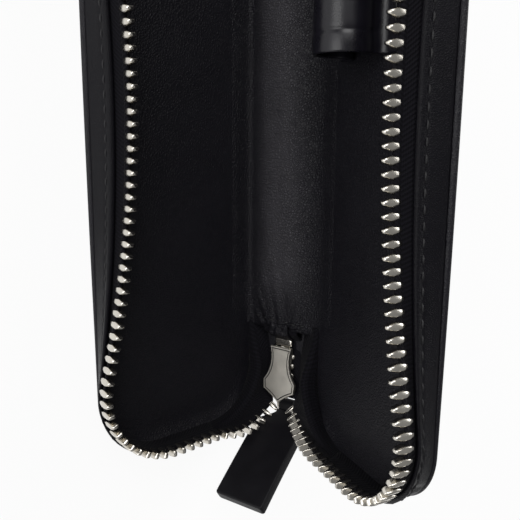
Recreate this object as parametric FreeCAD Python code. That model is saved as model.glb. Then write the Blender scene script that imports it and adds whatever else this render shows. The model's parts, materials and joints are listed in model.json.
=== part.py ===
"""Zip-round leather case for one pen, opened like a book and lying on its left half, in millimetres.

Every piece is drawn in the closed case: x across the spine, y along the case, z from the spine into
the case. The right half is drawn once and the left half is its mirror image. Each body is then opened
about its fold and the whole case is laid on the back of its left half.
"""
import FreeCAD
import Part
import math
import os

Vec = FreeCAD.Vector

# Driving dimensions of the case
LENGTH = 168.0          # outside length, end to end
BASE_WIDTH = 46.0       # fold axis to the free edge of a cover panel
RIM_WIDTH = 50.0        # the same at the rim, near the corners
BASE_RADIUS = 17.0      # corner radius of a cover panel
RIM_RADIUS = 19.0       # corner radius of the rim
RIM_BOW = 7.0           # how far the long rim draws in at mid length
BASE_BOW = 0.4          # how far the panel's long edge draws in
HALF_DEPTH = 11.0       # fold axis to the plane where the halves meet
LEFT_OPEN = 15.0        # degrees from closed, as it lies
RIGHT_OPEN = 58.0

# Leather, board and thread gaps
COVER_THICK = 1.4
BOARD_THICK = 1.0
LINING_THICK = 1.0
WALL_THICK = 1.2
SEAM_GAP = 0.1
EDGE_ROUND = 1.1
FOLD_RADIUS = 1.6
FOLD_GAP = 0.3

# Heights above the fold axis, from a half's back to its rim
COVER_TOP = -0.2
BOARD_TOP = COVER_TOP + BOARD_THICK
LINING_TOP = BOARD_TOP + LINING_THICK
COVER_BACK = COVER_TOP - COVER_THICK
WALL_TOP = 5.8
TAPE_FOOT = 2.0
TAPE_TOP = 9.2

# Zip
PITCH = 2.5
TOOTH_WIDTH = 1.0
TOOTH_THICK = 2.5
TOOTH_REACH = 0.6       # how far a head passes the closing plane
TOOTH_TAPER = 0.5       # how far each side draws in from foot to head
TAPE_THICK = 0.8
TAPE_OUT = WALL_THICK + SEAM_GAP
TAPE_MID = TAPE_OUT + TAPE_THICK / 2
TAPE_HALF_GAP = HALF_DEPTH - TAPE_TOP
LEAD_WIDTH = 2.0
LEAD_SPREAD = 40.0      # degrees a lead turns aside at the slider's mouth
LEAD_SECTIONS = 6
LEAD_STEPS = 200        # short steps that a lead's teeth are paced out on
STOP_LENGTH = 2.0
TOP_END_WIDTH = 3.0     # where the strands end at the top, from the spine

# Spine
SPINE_END = 25.0        # spine leather to the end of the case
SPINE_LINING_END = 26.5
SPINE_THICK = 1.5
SPINE_HALF = HALF_DEPTH - FOLD_RADIUS - FOLD_GAP
SPINE_BULGE = 1.6
CHAIN_Z = -0.9          # plane of the closed zip at the slider, from the fold axes
LEG_END = SPINE_END - FOLD_GAP
END_TAPE_WIDTH = 3.0
TAIL_RAMP = 2.0         # length over which the zip's tails drop from the spine to the slider

# Slider
SLIDER_LENGTH = 15.0
SLIDER_HALF = 4.8
SLIDER_TOP_HALF = 3.2
SLIDER_TOP = 20.3       # its upper end to the end of the case
SLIDER_TILT = 5.5       # follows the start of the corner
WAIST_DROP = 3.75       # upper end to the waist
WAIST_IN = 0.5          # how far the waist draws in from the upper end
SHOULDER_DROP = 9.4     # upper end to the widest place
CORNER_DROP = 11.8      # upper end to the corners beside the pointed mouth
CORNER_IN = 0.2         # how far the corners draw in from the widest place
MOUTH_HOLLOW = 0.25     # how far the edges of the point hollow in
CORNER_MITRE = 0.5      # a margin's reach at the corners
TIP_MITRE = 1.4         # and at the pointed tip
PLATE_THICK = 1.0
PLATE_GAP = 0.35        # plate to tooth
RECESS_DEPTH = 0.3
FLANGE_THICK = 0.6
FLANGE_LENGTH = 4.8
POST_TOP = 8.4          # upper end to the post between the plates
POST_LENGTH = 4.5
POST_HALF = 1.25
CROWN_WIDTH = 2.4
CROWN_WIRE = 1.1
CROWN_LENGTH = 6.4
CROWN_RISE = 1.8
CROWN_CHAMFER = 0.9

# Pull
LINK_RADIUS = 0.5
LINK_LENGTH = 10.0
LINK_HALF = 3.2
BAR_SIDES = 12          # facets round the link's lower bar and the tab's eye
TAB_LENGTH = 27.3
TAB_HALF = 7.0
TAB_EYE_HALF = LINK_HALF - LINK_RADIUS - FOLD_GAP
NECK_LENGTH = 8.0
TAB_LEATHER = 0.9
TAB_CORE = 1.2
TAB_TILT = 55.3         # from straight down, towards the inside
TAB_ROUND = 1.5

# Pen loop
PEN_RADIUS = 5.5
LOOP_WALL = 0.9
LOOP_LENGTH = 36.0
LOOP_START = 91.0       # its lower edge to the lower end of the case
LOOP_PLACE = 21.0       # its axis to the fold axis
LOOP_WING = 11.0

HALF = LENGTH / 2
TAIL_Z = SPINE_THICK + TAPE_THICK / 2


def at(u, along, n):
    """Point of the closed right half: u from the fold axis, n from the fold axis to the rim."""
    return Vec(HALF_DEPTH - n, along, u)


def level(n):
    """Share of the way from the foot of the wall to the rim."""
    return (n - COVER_TOP) / (TAPE_TOP - COVER_TOP)


def outline_values(share):
    """Width, corner radius, bow and the bow's radius and swing at a share of the wall's height."""
    width = BASE_WIDTH + (RIM_WIDTH - BASE_WIDTH) * share
    radius = BASE_RADIUS + (RIM_RADIUS - BASE_RADIUS) * share
    bow = BASE_BOW + (RIM_BOW - BASE_BOW) * share
    rise = HALF - radius
    bow_radius = (rise * rise + bow * bow) / (2 * bow) - radius
    swing = math.asin(rise / (radius + bow_radius))
    return width, radius, bow, bow_radius, swing


def outline(share, inset, n):
    """Closed outline of a half at height n: four corners, a bowed outer side, three straight sides."""
    width, radius, bow, bow_radius, swing = outline_values(share)
    rise = HALF - radius
    round_in = radius - inset
    outer = width - radius
    bow_side = width - bow - inset

    def corner(u, along, start, sweep):
        """Arc about a corner's centre, as three points."""
        turns = [start, start + sweep / 2, start + sweep]
        return [at(u + round_in * math.cos(t), along + round_in * math.sin(t), n) for t in turns]

    quarter = math.pi / 2
    low_outer = corner(outer, -rise, -quarter, quarter + swing)
    high_outer = corner(outer, rise, -swing, quarter + swing)
    high_spine = corner(radius, rise, quarter, quarter)
    low_spine = corner(radius, -rise, 2 * quarter, quarter)
    edges = [
        Part.makeLine(low_spine[2], low_outer[0]),
        Part.Arc(*low_outer).toShape(),
        Part.Arc(low_outer[2], at(bow_side, 0, n), high_outer[0]).toShape(),
        Part.Arc(*high_outer).toShape(),
        Part.makeLine(high_outer[2], high_spine[0]),
        Part.Arc(*high_spine).toShape(),
        Part.makeLine(high_spine[2], low_spine[0]),
        Part.Arc(*low_spine).toShape(),
    ]
    return Part.Wire(edges)


def cut_box(u_low, u_high, along_low, along_high):
    """Box through the full height of a half, for cutting its outline."""
    reach = 3 * HALF_DEPTH
    corner = Vec(HALF_DEPTH - reach, along_low, u_low)
    return Part.makeBox(2 * reach, along_high - along_low, u_high - u_low, corner)


def clear_of_fold(sheet):
    """Sheet of a half, trimmed clear of the fold."""
    edge = FOLD_RADIUS + FOLD_GAP
    return sheet.cut(cut_box(-edge, edge, -LENGTH, LENGTH))


def prism(inset, n_low, n_high):
    """Solid within one inset, ruled from its foot to its top."""
    wires = [outline(level(n), inset, n) for n in (n_low, n_high)]
    return Part.makeLoft(wires, True, True)


def band(inset_out, inset_in, n_low, n_high):
    """Upright band between two insets, ruled from its foot to its top."""
    return prism(inset_out, n_low, n_high).cut(prism(inset_in, n_low, n_high))


def cover_panel():
    """Outer leather of a half, its back edge rounded over."""
    slope = [(EDGE_ROUND * (1 - math.sin(t)), EDGE_ROUND * (1 - math.cos(t)))
             for t in (0, math.pi / 4, math.pi / 2)]
    wires = [outline(0, inset, COVER_BACK + rise) for inset, rise in slope]
    wires.append(outline(0, 0, COVER_TOP))
    return clear_of_fold(Part.makeLoft(wires, True, True))


def inner_sheet(n_low, n_high):
    """Board or lining that fills the half inside its wall."""
    return clear_of_fold(prism(TAPE_OUT, n_low, n_high))


def wall():
    """Leather wall of a half: it stops short of the spine leather, with a leg at each end."""
    ring = band(0, WALL_THICK, COVER_TOP, WALL_TOP)
    legs = HALF - LEG_END
    return ring.cut(cut_box(-FOLD_RADIUS, RIM_RADIUS / 2, -legs, legs))


def tape():
    """Woven zip tape of a half, from the lower lead to the top end by the spine."""
    ring = band(TAPE_OUT, TAPE_OUT + TAPE_THICK, TAPE_FOOT, TAPE_TOP)
    ring = ring.cut(cut_box(-RIM_RADIUS, TOP_END_WIDTH, -LENGTH, LENGTH))
    return ring.cut(cut_box(-RIM_RADIUS, RIM_RADIUS, -LENGTH, -HALF + RIM_RADIUS))


def strand_path():
    """Start of the tooth line at the lower lead, and its stretches as (length, turn per mm)."""
    width, radius, bow, bow_radius, swing = outline_values(1)
    inner = radius - TAPE_MID
    corner = inner * (math.pi / 2 + swing)
    side = (bow_radius + TAPE_MID) * 2 * swing
    straight = width - 2 * radius
    last = inner * math.acos(1 - (TOP_END_WIDTH + PITCH) / RIM_RADIUS)
    start = (radius, -HALF + TAPE_MID)
    return start, [
        (straight, 0.0),
        (corner, 1 / inner),
        (side, -1 / (bow_radius + TAPE_MID)),
        (corner, 1 / inner),
        (straight, 0.0),
        (inner * math.pi / 2 - last / 2, 1 / inner),
    ]


def strand_points(offset):
    """Tooth places along a half's rim as (u, along, heading), one pitch apart."""
    (u, along), stretches = strand_path()
    heading = 0.0
    places = []
    wait = offset
    for length, turn in stretches:
        while wait <= length:
            angle = heading + turn * wait
            if turn:
                du = (math.sin(angle) - math.sin(heading)) / turn
                da = (math.cos(heading) - math.cos(angle)) / turn
            else:
                du = wait * math.cos(heading)
                da = wait * math.sin(heading)
            places.append((u + du, along + da, angle))
            wait += PITCH
        wait -= length
        end = heading + turn * length
        if turn:
            u += (math.sin(end) - math.sin(heading)) / turn
            along += (math.cos(heading) - math.cos(end)) / turn
        else:
            u += length * math.cos(heading)
            along += length * math.sin(heading)
        heading = end
    return places


def tooth(foot, run, up):
    """One tooth: foot on the tape's edge, run along the zip, up towards the other strand."""
    across = run.cross(up)
    tall = TAPE_HALF_GAP + TOOTH_REACH
    wide = TOOTH_THICK / 2
    narrow = wide - TOOTH_TAPER
    profile = [(-wide, 0), (-narrow, tall), (narrow, tall), (wide, 0)]
    start = foot - run * (TOOTH_WIDTH / 2)
    points = [start + across * w + up * h for w, h in profile]
    face = Part.Face(Part.makePolygon(points + points[:1]))
    return face.extrude(run * TOOTH_WIDTH)


def strand_teeth(offset):
    """Teeth of a half's rim."""
    up = at(0, 0, 1) - at(0, 0, 0)
    teeth = []
    for u, along, angle in strand_points(offset)[:-1]:
        run = at(math.cos(angle), math.sin(angle), 0) - at(0, 0, 0)
        teeth.append(tooth(at(u, along, TAPE_TOP), run, up))
    return Part.makeCompound(teeth)


def top_stop(offset):
    """Small metal stop that ends a strand at the top of the spine."""
    u, along, angle = strand_points(offset)[-1]
    stop = Part.makeBox(STOP_LENGTH / 2, TOOTH_THICK, TAPE_HALF_GAP - SEAM_GAP)
    stop.translate(Vec(-STOP_LENGTH / 4, -TOOTH_THICK / 2, 0))
    run = Vec(math.cos(angle), math.sin(angle), 0)
    stop.transformShape(frame(Vec(u, along, TAPE_TOP), run, Vec(0, 0, 1)))
    return stop.transformed(HALF_TO_CASE, copy=True)


def frame(origin, run, up):
    """Placement with its x along run and its z along up."""
    side = up.cross(run)
    return FreeCAD.Matrix(
        run.x, side.x, up.x, origin.x,
        run.y, side.y, up.y, origin.y,
        run.z, side.z, up.z, origin.z,
        0, 0, 0, 1)


HALF_TO_CASE = FreeCAD.Matrix(0, 0, -1, HALF_DEPTH, 0, 1, 0, 0, 1, 0, 0, 0, 0, 0, 0, 1)


def mirrored(shape):
    """The left half's copy of a right half's piece."""
    return shape.mirror(Vec(0, 0, 0), Vec(1, 0, 0))


def opened(shape, side):
    """Shape turned about its fold from closed to how the case lies open."""
    angle = RIGHT_OPEN if side > 0 else -LEFT_OPEN
    shape.rotate(Vec(side * HALF_DEPTH, 0, 0), Vec(0, 1, 0), angle)
    return shape


def opened_vector(point, side, origin=Vec(0, 0, 0)):
    """Point or direction of a closed right half, mirrored for the left and opened."""
    local = Vec(side * (point.x - origin.x), point.y - origin.y, point.z - origin.z)
    angle = RIGHT_OPEN if side > 0 else -LEFT_OPEN
    return FreeCAD.Rotation(Vec(0, 1, 0), angle).multVec(local)


def spine_cover():
    """Outer leather of the spine, between the two folds."""
    long = LENGTH - 2 * SPINE_END
    strip = Part.makeBox(2 * SPINE_HALF, long, SPINE_THICK, Vec(-SPINE_HALF, -long / 2, 0))
    upright = [e for e in strip.Edges if abs(e.tangentAt(e.FirstParameter).z) > 0.9]
    return strip.makeChamfer(EDGE_ROUND, upright)


def spine_lining():
    """Soft inner leather of the spine, bulging into the case."""
    long = LENGTH - 2 * SPINE_LINING_END
    half = SPINE_HALF - EDGE_ROUND
    low = SPINE_THICK + SEAM_GAP
    ends = [Vec(-half, -long / 2, low), Vec(half, -long / 2, low)]
    lip = Vec(0, 0, LINING_THICK / 2)
    crown = Vec(0, -long / 2, low + LINING_THICK / 2 + SPINE_BULGE)
    edges = [
        Part.makeLine(ends[0], ends[1]),
        Part.makeLine(ends[1], ends[1] + lip),
        Part.Arc(ends[1] + lip, crown, ends[0] + lip).toShape(),
        Part.makeLine(ends[0] + lip, ends[0]),
    ]
    return Part.Face(Part.Wire(edges)).extrude(Vec(0, long, 0))


def fold(side):
    """Rounded leather fold on a hinge axis of the spine."""
    long = LENGTH - 2 * SPINE_END
    return Part.makeCylinder(FOLD_RADIUS, long, Vec(side * HALF_DEPTH, -long / 2, 0), Vec(0, 1, 0))


def slider_frame():
    """Slider's own frame: x across, y towards its upper end, z into the case, zero at its upper end."""
    turn = math.radians(SLIDER_TILT)
    up = Vec(0, math.cos(turn), -math.sin(turn))
    inward = Vec(0, math.sin(turn), math.cos(turn))
    return Vec(0, -HALF + SLIDER_TOP, CHAIN_Z), up, inward


def in_slider(x, y, z):
    """Point given in the slider's frame."""
    origin, up, inward = slider_frame()
    return origin + Vec(x, 0, 0) + up * y + inward * z


def to_slider(shape):
    """Shape moved from the slider's frame to the case."""
    origin, up, inward = slider_frame()
    return shape.transformed(frame(origin, Vec(1, 0, 0), inward), copy=True)


def tail_ramp():
    """Upper and lower end of the ramp that takes the zip's tails from the spine down to the slider."""
    high = Vec(0, -HALF + LEG_END, TAIL_Z)
    low = Vec(0, -HALF + LEG_END - TAIL_RAMP, CHAIN_Z)
    return [high, low]


def zip_end_tape():
    """Two tape tails under the spine lining that carry the closed end of the zip."""
    flat = Vec(0, 0, TAPE_THICK / 2)
    top = Vec(0, -HALF + SPINE_LINING_END - FOLD_GAP, TAIL_Z)
    low = in_slider(0, -SLIDER_LENGTH / 2, 0)
    line = [top] + tail_ramp() + [in_slider(0, 0, 0), low]
    profile = [p + flat for p in line] + [p - flat for p in reversed(line)]
    tails = []
    for side in (-1, 1):
        inner = Vec(side * TAPE_HALF_GAP, 0, 0)
        face = Part.Face(Part.makePolygon([p + inner for p in profile + profile[:1]]))
        tails.append(face.extrude(Vec(side * END_TAPE_WIDTH, 0, 0)))
    return Part.makeCompound(tails)


def zip_end_teeth():
    """Closed teeth that stay in the upper half of the slider."""
    origin, up, inward = slider_frame()
    teeth = []
    for index in range(int(SLIDER_LENGTH / 2 / PITCH) * 2):
        side = 1 if index % 2 else -1
        place = -PITCH / 2 * (index + 1)
        foot = in_slider(side * TAPE_HALF_GAP, place, 0)
        teeth.append(tooth(foot, up, Vec(-side, 0, 0)))
    return Part.makeCompound(teeth)


def bottom_stop():
    """Metal stop across the two tails, above the slider."""
    half = TAPE_HALF_GAP + PLATE_THICK
    low = Vec(-half, -HALF + SLIDER_TOP + FOLD_GAP, CHAIN_Z + TAPE_THICK / 2)
    stop = Part.makeBox(2 * half, STOP_LENGTH, PLATE_THICK, low)
    return stop.makeChamfer(PLATE_THICK / 3, stop.Edges)


def end_tongue():
    """Small leather tongue that lies on the tails' ramp, by the lining's stitched edge."""
    half = TAPE_HALF_GAP + PLATE_THICK
    lift = Vec(-half, 0, TAPE_THICK / 2)
    thick = Vec(0, 0, LINING_THICK)
    top = Vec(0, -HALF + SPINE_LINING_END - FOLD_GAP, TAIL_Z)
    line = [p + lift for p in [top] + tail_ramp()]
    points = line + [p + thick for p in reversed(line)]
    return Part.Face(Part.makePolygon(points + points[:1])).extrude(Vec(2 * half, 0, 0))


def lead_frames(side, count):
    """Places along a lead strand, from the slider's mouth to the half's own strand."""
    origin, up, inward = slider_frame()
    spread = math.radians(LEAD_SPREAD)
    run_a = up * -math.cos(spread) + Vec(side * math.sin(spread), 0, 0)
    up_a = Vec(-side * math.cos(spread), 0, 0) - up * math.sin(spread)
    start = in_slider(side * (TAPE_HALF_GAP + TOOTH_WIDTH), -SLIDER_LENGTH - TOOTH_WIDTH, 0)
    (u, along), _ = strand_path()
    pivot = Vec(side * HALF_DEPTH, 0, 0)
    end = pivot + opened_vector(at(u - TOOTH_WIDTH, along, TAPE_TOP), side, Vec(HALF_DEPTH, 0, 0))
    run_b = opened_vector(Vec(0, 0, 1), side)
    up_b = opened_vector(Vec(-1, 0, 0), side)
    pull = (end - start).Length
    frames = []
    for index in range(count + 1):
        t = index / count
        keep = (1 - t) ** 2 * (1 + 2 * t)
        place = start * keep + end * (1 - keep)
        place = place + run_a * (pull * t * (1 - t) ** 2) - run_b * (pull * t * t * (1 - t))
        run = (end - start) * (6 * t * (1 - t)) + run_a * (pull * (1 - t) * (1 - 3 * t))
        run = run + run_b * (pull * t * (3 * t - 2))
        run.normalize()
        lean = up_a * (1 - t) + up_b * t
        lean = lean - run * lean.dot(run)
        lean.normalize()
        frames.append((place, run, lean))
    return frames


def lead_tape(side):
    """Loose tape of a lead, twisted from the spine's plane into the half's wall."""
    half = TAPE_THICK / 2
    wires = []
    for place, run, lean in lead_frames(side, LEAD_SECTIONS):
        across = run.cross(lean) * half
        foot = place - lean * LEAD_WIDTH
        corners = [place - across, place + across, foot + across, foot - across]
        wires.append(Part.makePolygon(corners + corners[:1]))
    return Part.makeLoft(wires, True, True)


def lead_teeth(side):
    """Teeth of a lead, one pitch apart along its edge."""
    frames = lead_frames(side, LEAD_STEPS)
    walked = PITCH - TOOTH_WIDTH
    teeth = []
    for before, (place, run, lean) in zip(frames, frames[1:]):
        walked += (place - before[0]).Length
        if walked >= PITCH:
            walked -= PITCH
            teeth.append(tooth(place + lean * (SEAM_GAP / 2), run, lean))
    return Part.makeCompound(teeth)


def shield(z, thick, margin):
    """Slider plate: flat top, waist, wide shoulders, two corners and a pointed mouth end."""
    top = SLIDER_TOP_HALF - margin
    wide = SLIDER_HALF - margin
    tip = -SLIDER_LENGTH + TIP_MITRE * margin
    waist = Vec(top - WAIST_IN, -WAIST_DROP, z)
    start = Vec(top, -margin, z)
    side = Vec(wide, -SHOULDER_DROP, z)
    corner = Vec(wide - CORNER_IN, -CORNER_DROP + CORNER_MITRE * margin, z)
    point = Vec(0, tip, z)
    hollow = (corner + point) * 0.5 + Vec(0, MOUTH_HOLLOW, 0)

    def flip(p):
        """Point on the other side of the slider."""
        return Vec(-p.x, p.y, p.z)

    edges = [
        Part.makeLine(flip(start), start),
        Part.Arc(start, waist, side).toShape(),
        Part.makeLine(side, corner),
        Part.Arc(corner, hollow, point).toShape(),
        Part.Arc(point, flip(hollow), flip(corner)).toShape(),
        Part.makeLine(flip(corner), flip(side)),
        Part.Arc(flip(side), flip(waist), flip(start)).toShape(),
    ]
    return Part.Face(Part.Wire(edges)).extrude(Vec(0, 0, thick))


def slider_body():
    """Cast slider: two plates joined by a post at the mouth, with flanges that hold the tapes."""
    gap = TOOTH_THICK / 2 + PLATE_GAP
    inner = shield(gap, PLATE_THICK, 0)
    inner = inner.cut(shield(gap + PLATE_THICK - RECESS_DEPTH, PLATE_THICK, FLANGE_THICK))
    outer = shield(-gap - PLATE_THICK, PLATE_THICK, 0)
    middle = -POST_TOP - POST_LENGTH / 2
    diamond = [Vec(0, -POST_TOP - POST_LENGTH, -gap), Vec(POST_HALF, middle, -gap)]
    diamond += [Vec(0, -POST_TOP, -gap), Vec(-POST_HALF, middle, -gap)]
    post = Part.Face(Part.makePolygon(diamond + diamond[:1])).extrude(Vec(0, 0, 2 * gap))
    body = inner.fuse([outer, post])
    flange_tall = gap - TAPE_THICK
    flange_x = TAPE_HALF_GAP + FOLD_GAP
    for side in (-1, 1):
        for low in (-gap, gap - flange_tall):
            x = flange_x if side > 0 else -flange_x - FLANGE_THICK
            flange = Part.makeBox(FLANGE_THICK, FLANGE_LENGTH, flange_tall, Vec(x, -FLANGE_LENGTH, low))
            body = body.fuse(flange)
    return to_slider(body.removeSplitter())


def crown_face():
    """Height of the outer plate's face in the slider's frame."""
    return -(TOOTH_THICK / 2 + PLATE_GAP + PLATE_THICK)


def slider_crown():
    """Arched bridge on the outer plate that holds the pull's link."""
    base = crown_face()
    high = base - CROWN_RISE - CROWN_WIRE
    low_y = -(SLIDER_LENGTH + CROWN_LENGTH) / 2
    block = Part.makeBox(CROWN_WIDTH, CROWN_LENGTH, base - high, Vec(-CROWN_WIDTH / 2, low_y, high))
    hole = Part.makeBox(2 * CROWN_WIDTH, CROWN_LENGTH - 2 * CROWN_WIRE, CROWN_RISE,
                        Vec(-CROWN_WIDTH, low_y + CROWN_WIRE, base - CROWN_RISE))
    arch = block.cut(hole)
    outside = [e for e in arch.Edges if all(v.Z < high + SEAM_GAP for v in e.Vertexes)]
    ends = [e for e in outside if abs(e.tangentAt(e.FirstParameter).x) > 0.9]
    return to_slider(arch.makeChamfer(CROWN_CHAMFER, ends))


def link_axis():
    """Pivot of the link and its lower bar, in the slider's frame as (y, z)."""
    y = -(SLIDER_LENGTH + CROWN_LENGTH) / 2 + CROWN_WIRE + LINK_RADIUS + FOLD_GAP
    z = crown_face() - CROWN_RISE / 2
    return y, z


def bar(radius, half, y, z):
    """Faceted round bar across the case, centred on a point of its cross-section."""
    turns = [2 * math.pi * k / BAR_SIDES for k in range(BAR_SIDES + 1)]
    ring = [Vec(-half, y + radius * math.cos(t), z + radius * math.sin(t)) for t in turns]
    return Part.Face(Part.makePolygon(ring)).extrude(Vec(2 * half, 0, 0))


def pull_link():
    """Wire link: one bar through the crown, one bar for the leather tab, two arms between."""
    y, z = link_axis()
    low = y - LINK_LENGTH
    wide = 2 * LINK_RADIUS
    half = LINK_HALF - LINK_RADIUS
    upper = Part.makeCylinder(LINK_RADIUS, 2 * half, Vec(-half, y, z), Vec(1, 0, 0))
    lower = bar(LINK_RADIUS, half, low, z)
    arms = []
    for side in (-1, 1):
        corner = Vec(side * LINK_HALF - LINK_RADIUS, low - LINK_RADIUS, z - LINK_RADIUS)
        arms.append(Part.makeBox(wide, LINK_LENGTH + wide, wide, corner))
    return to_slider(upper.fuse([lower] + arms).removeSplitter())


def tab_axis():
    """Centre of the tab's hinge in the case."""
    y, z = link_axis()
    return in_slider(0, y - LINK_LENGTH, z)


def tab_shape(z, thick, margin, start):
    """Tab outline from its neck to its square end, in the tab's own frame with y pointing away."""
    neck = TAB_EYE_HALF - margin
    wide = TAB_HALF - margin
    end = TAB_LENGTH - margin
    side = [(neck, start), (neck, NECK_LENGTH / 2), (wide, NECK_LENGTH), (wide, end - TAB_ROUND)]
    points = [Vec(x, y, z) for x, y in side]
    points += [Vec(wide - TAB_ROUND, end, z)]
    points += [Vec(-p.x, p.y, z) for p in reversed(points)]
    return Part.Face(Part.makePolygon(points + points[:1])).extrude(Vec(0, 0, thick))


def to_tab(shape):
    """Shape moved from the tab's frame to the case."""
    turn = math.radians(TAB_TILT)
    away = Vec(0, -math.cos(turn), math.sin(turn))
    up = away.cross(Vec(-1, 0, 0))
    side = away.cross(up)
    origin = tab_axis()
    matrix = FreeCAD.Matrix(
        side.x, away.x, up.x, origin.x,
        side.y, away.y, up.y, origin.y,
        side.z, away.z, up.z, origin.z,
        0, 0, 0, 1)
    return shape.transformed(matrix, copy=True)


def tab_leather():
    """One strip of leather wrapped round the link's bar, its two layers lying back to back."""
    inside = TAB_CORE / 2
    ring = inside + TAB_LEATHER
    clear = LINK_RADIUS + FOLD_GAP
    front = tab_shape(inside, TAB_LEATHER, 0, 0)
    back = tab_shape(-ring, TAB_LEATHER, 0, 0)
    neck = TAB_EYE_HALF
    eye = bar(ring, neck, 0, 0)
    bore = Part.makeCylinder(clear, 4 * neck, Vec(-2 * neck, 0, 0), Vec(1, 0, 0))
    return to_tab(eye.fuse([front, back]).cut(bore).removeSplitter())


def tab_core():
    """Stiff filler between the tab's two layers."""
    start = LINK_RADIUS + 2 * FOLD_GAP + TAB_LEATHER
    thick = TAB_CORE - SEAM_GAP
    return to_tab(tab_shape(-thick / 2, thick, SEAM_GAP, start))


def pen_loop():
    """Leather loop on the right lining with a wing sewn down on each side."""
    outer = PEN_RADIUS + LOOP_WALL
    axis = LINING_TOP + outer
    start = at(LOOP_PLACE, -HALF + LOOP_START, axis)
    along = Vec(0, 1, 0)
    tube = Part.makeCylinder(outer, LOOP_LENGTH, start, along)
    wing_low = at(LOOP_PLACE - LOOP_WING, -HALF + LOOP_START, LINING_TOP + LOOP_WALL)
    wing = Part.makeBox(LOOP_WALL, LOOP_LENGTH, 2 * LOOP_WING, wing_low)
    bore = Part.makeCylinder(PEN_RADIUS, LOOP_LENGTH, start, along)
    return tube.fuse(wing).cut(bore).removeSplitter()


def lay_down(shape):
    """Case turned onto the back of its left half, with the middle of that panel at the origin."""
    turn = 90 - LEFT_OPEN
    lean = math.radians(turn)
    shape.rotate(Vec(0, 0, 0), Vec(0, 1, 0), -turn)
    right = BASE_WIDTH / 2 + HALF_DEPTH * math.cos(lean)
    shape.translate(Vec(right, 0, HALF_DEPTH * math.sin(lean) - COVER_BACK))
    return shape


def half_nodes(name, side, offset):
    """Pieces of one half, opened about its fold."""
    pieces = {
        "cover": cover_panel(),
        "board": inner_sheet(COVER_TOP, BOARD_TOP),
        "lining": inner_sheet(BOARD_TOP, LINING_TOP),
        "wall": wall(),
        "tape": tape(),
        "teeth": strand_teeth(offset),
        "top_stop": top_stop(offset),
    }
    if side > 0:
        pieces["pen_loop"] = pen_loop()
    nodes = {}
    for piece, shape in pieces.items():
        placed = shape if side > 0 else mirrored(shape)
        label = piece if piece == "pen_loop" else name + "_" + piece
        nodes[label] = opened(placed, side)
    return nodes


def spine_nodes():
    """Pieces that stay with the spine."""
    return {
        "spine_cover": spine_cover(),
        "spine_lining": spine_lining(),
        "left_fold": fold(-1),
        "right_fold": fold(1),
        "zip_end_tape": zip_end_tape(),
        "zip_end_teeth": zip_end_teeth(),
        "bottom_stop": bottom_stop(),
        "end_tongue": end_tongue(),
        "left_lead_tape": lead_tape(-1),
        "left_lead_teeth": lead_teeth(-1),
        "right_lead_tape": lead_tape(1),
        "right_lead_teeth": lead_teeth(1),
    }


def pull_nodes():
    """Slider and pull."""
    return {
        "slider_body": slider_body(),
        "slider_crown": slider_crown(),
        "pull_link": pull_link(),
        "tab_leather": tab_leather(),
        "tab_core": tab_core(),
    }


def main():
    """Write every node, laid down in the row's frame."""
    os.makedirs("parts", exist_ok=True)
    nodes = half_nodes("left", -1, PITCH / 4)
    nodes.update(half_nodes("right", 1, PITCH * 3 / 4))
    nodes.update(spine_nodes())
    nodes.update(pull_nodes())
    for name, shape in nodes.items():
        lay_down(shape).exportStep("parts/" + name + ".step")


main()
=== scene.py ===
"""Looks of a zip-round leather pen case, lying open on its left half.

Every solid of the frame gets a modelled piece in its place, apart from the two hidden boards, which
keep their solids and get a finish. Shapes are worked out in millimetres in the frame of a half, the
spine, the slider or the tab, and put into the meshes in metres.
"""
import json
import math

import bpy
import numpy as np
from bpy.props import FloatProperty, FloatVectorProperty, PointerProperty
from mathutils import Matrix


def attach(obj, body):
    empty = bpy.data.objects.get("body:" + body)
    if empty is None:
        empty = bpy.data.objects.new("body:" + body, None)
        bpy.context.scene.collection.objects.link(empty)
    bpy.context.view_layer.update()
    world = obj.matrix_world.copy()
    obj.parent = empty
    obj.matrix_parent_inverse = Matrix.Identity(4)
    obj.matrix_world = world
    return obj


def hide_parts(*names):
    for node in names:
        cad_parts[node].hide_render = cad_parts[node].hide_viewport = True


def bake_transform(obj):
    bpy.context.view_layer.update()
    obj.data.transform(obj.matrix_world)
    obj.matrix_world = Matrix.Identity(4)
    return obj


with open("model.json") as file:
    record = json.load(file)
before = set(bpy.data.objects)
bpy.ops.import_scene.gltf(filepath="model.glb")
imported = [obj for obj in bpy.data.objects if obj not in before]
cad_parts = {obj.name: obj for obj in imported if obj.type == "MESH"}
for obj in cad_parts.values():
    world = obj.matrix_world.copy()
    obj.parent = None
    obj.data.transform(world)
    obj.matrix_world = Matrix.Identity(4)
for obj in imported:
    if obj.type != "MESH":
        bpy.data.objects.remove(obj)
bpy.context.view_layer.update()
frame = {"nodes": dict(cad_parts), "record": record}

bl_info = {
    "name": "Zip-round pen case",
    "version": (1, 0, 0),
    "blender": (4, 5, 0),
    "location": "View3D > Sidebar > Pen case",
    "description": "Leather, zip, lining and stage of an open pen case",
    "category": "Object",
}

QUARTER = math.pi / 2
MM = 0.001

# Sizes of the case in millimetres
LENGTH = 168.0
BASE_WIDTH = 46.0       # fold axis to the free edge of a cover
RIM_WIDTH = 50.0
BASE_RADIUS = 14.5
RIM_RADIUS = 19.0
RIM_BOW = 8.2           # how far the long rim draws in at mid length
BASE_BOW = 0.4
BASE_IN = 0.7           # how far the wall's foot stands inside the cover's edge
HALF_DEPTH = 11.0       # fold axis to the plane where the halves meet
HALF = LENGTH / 2

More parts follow.
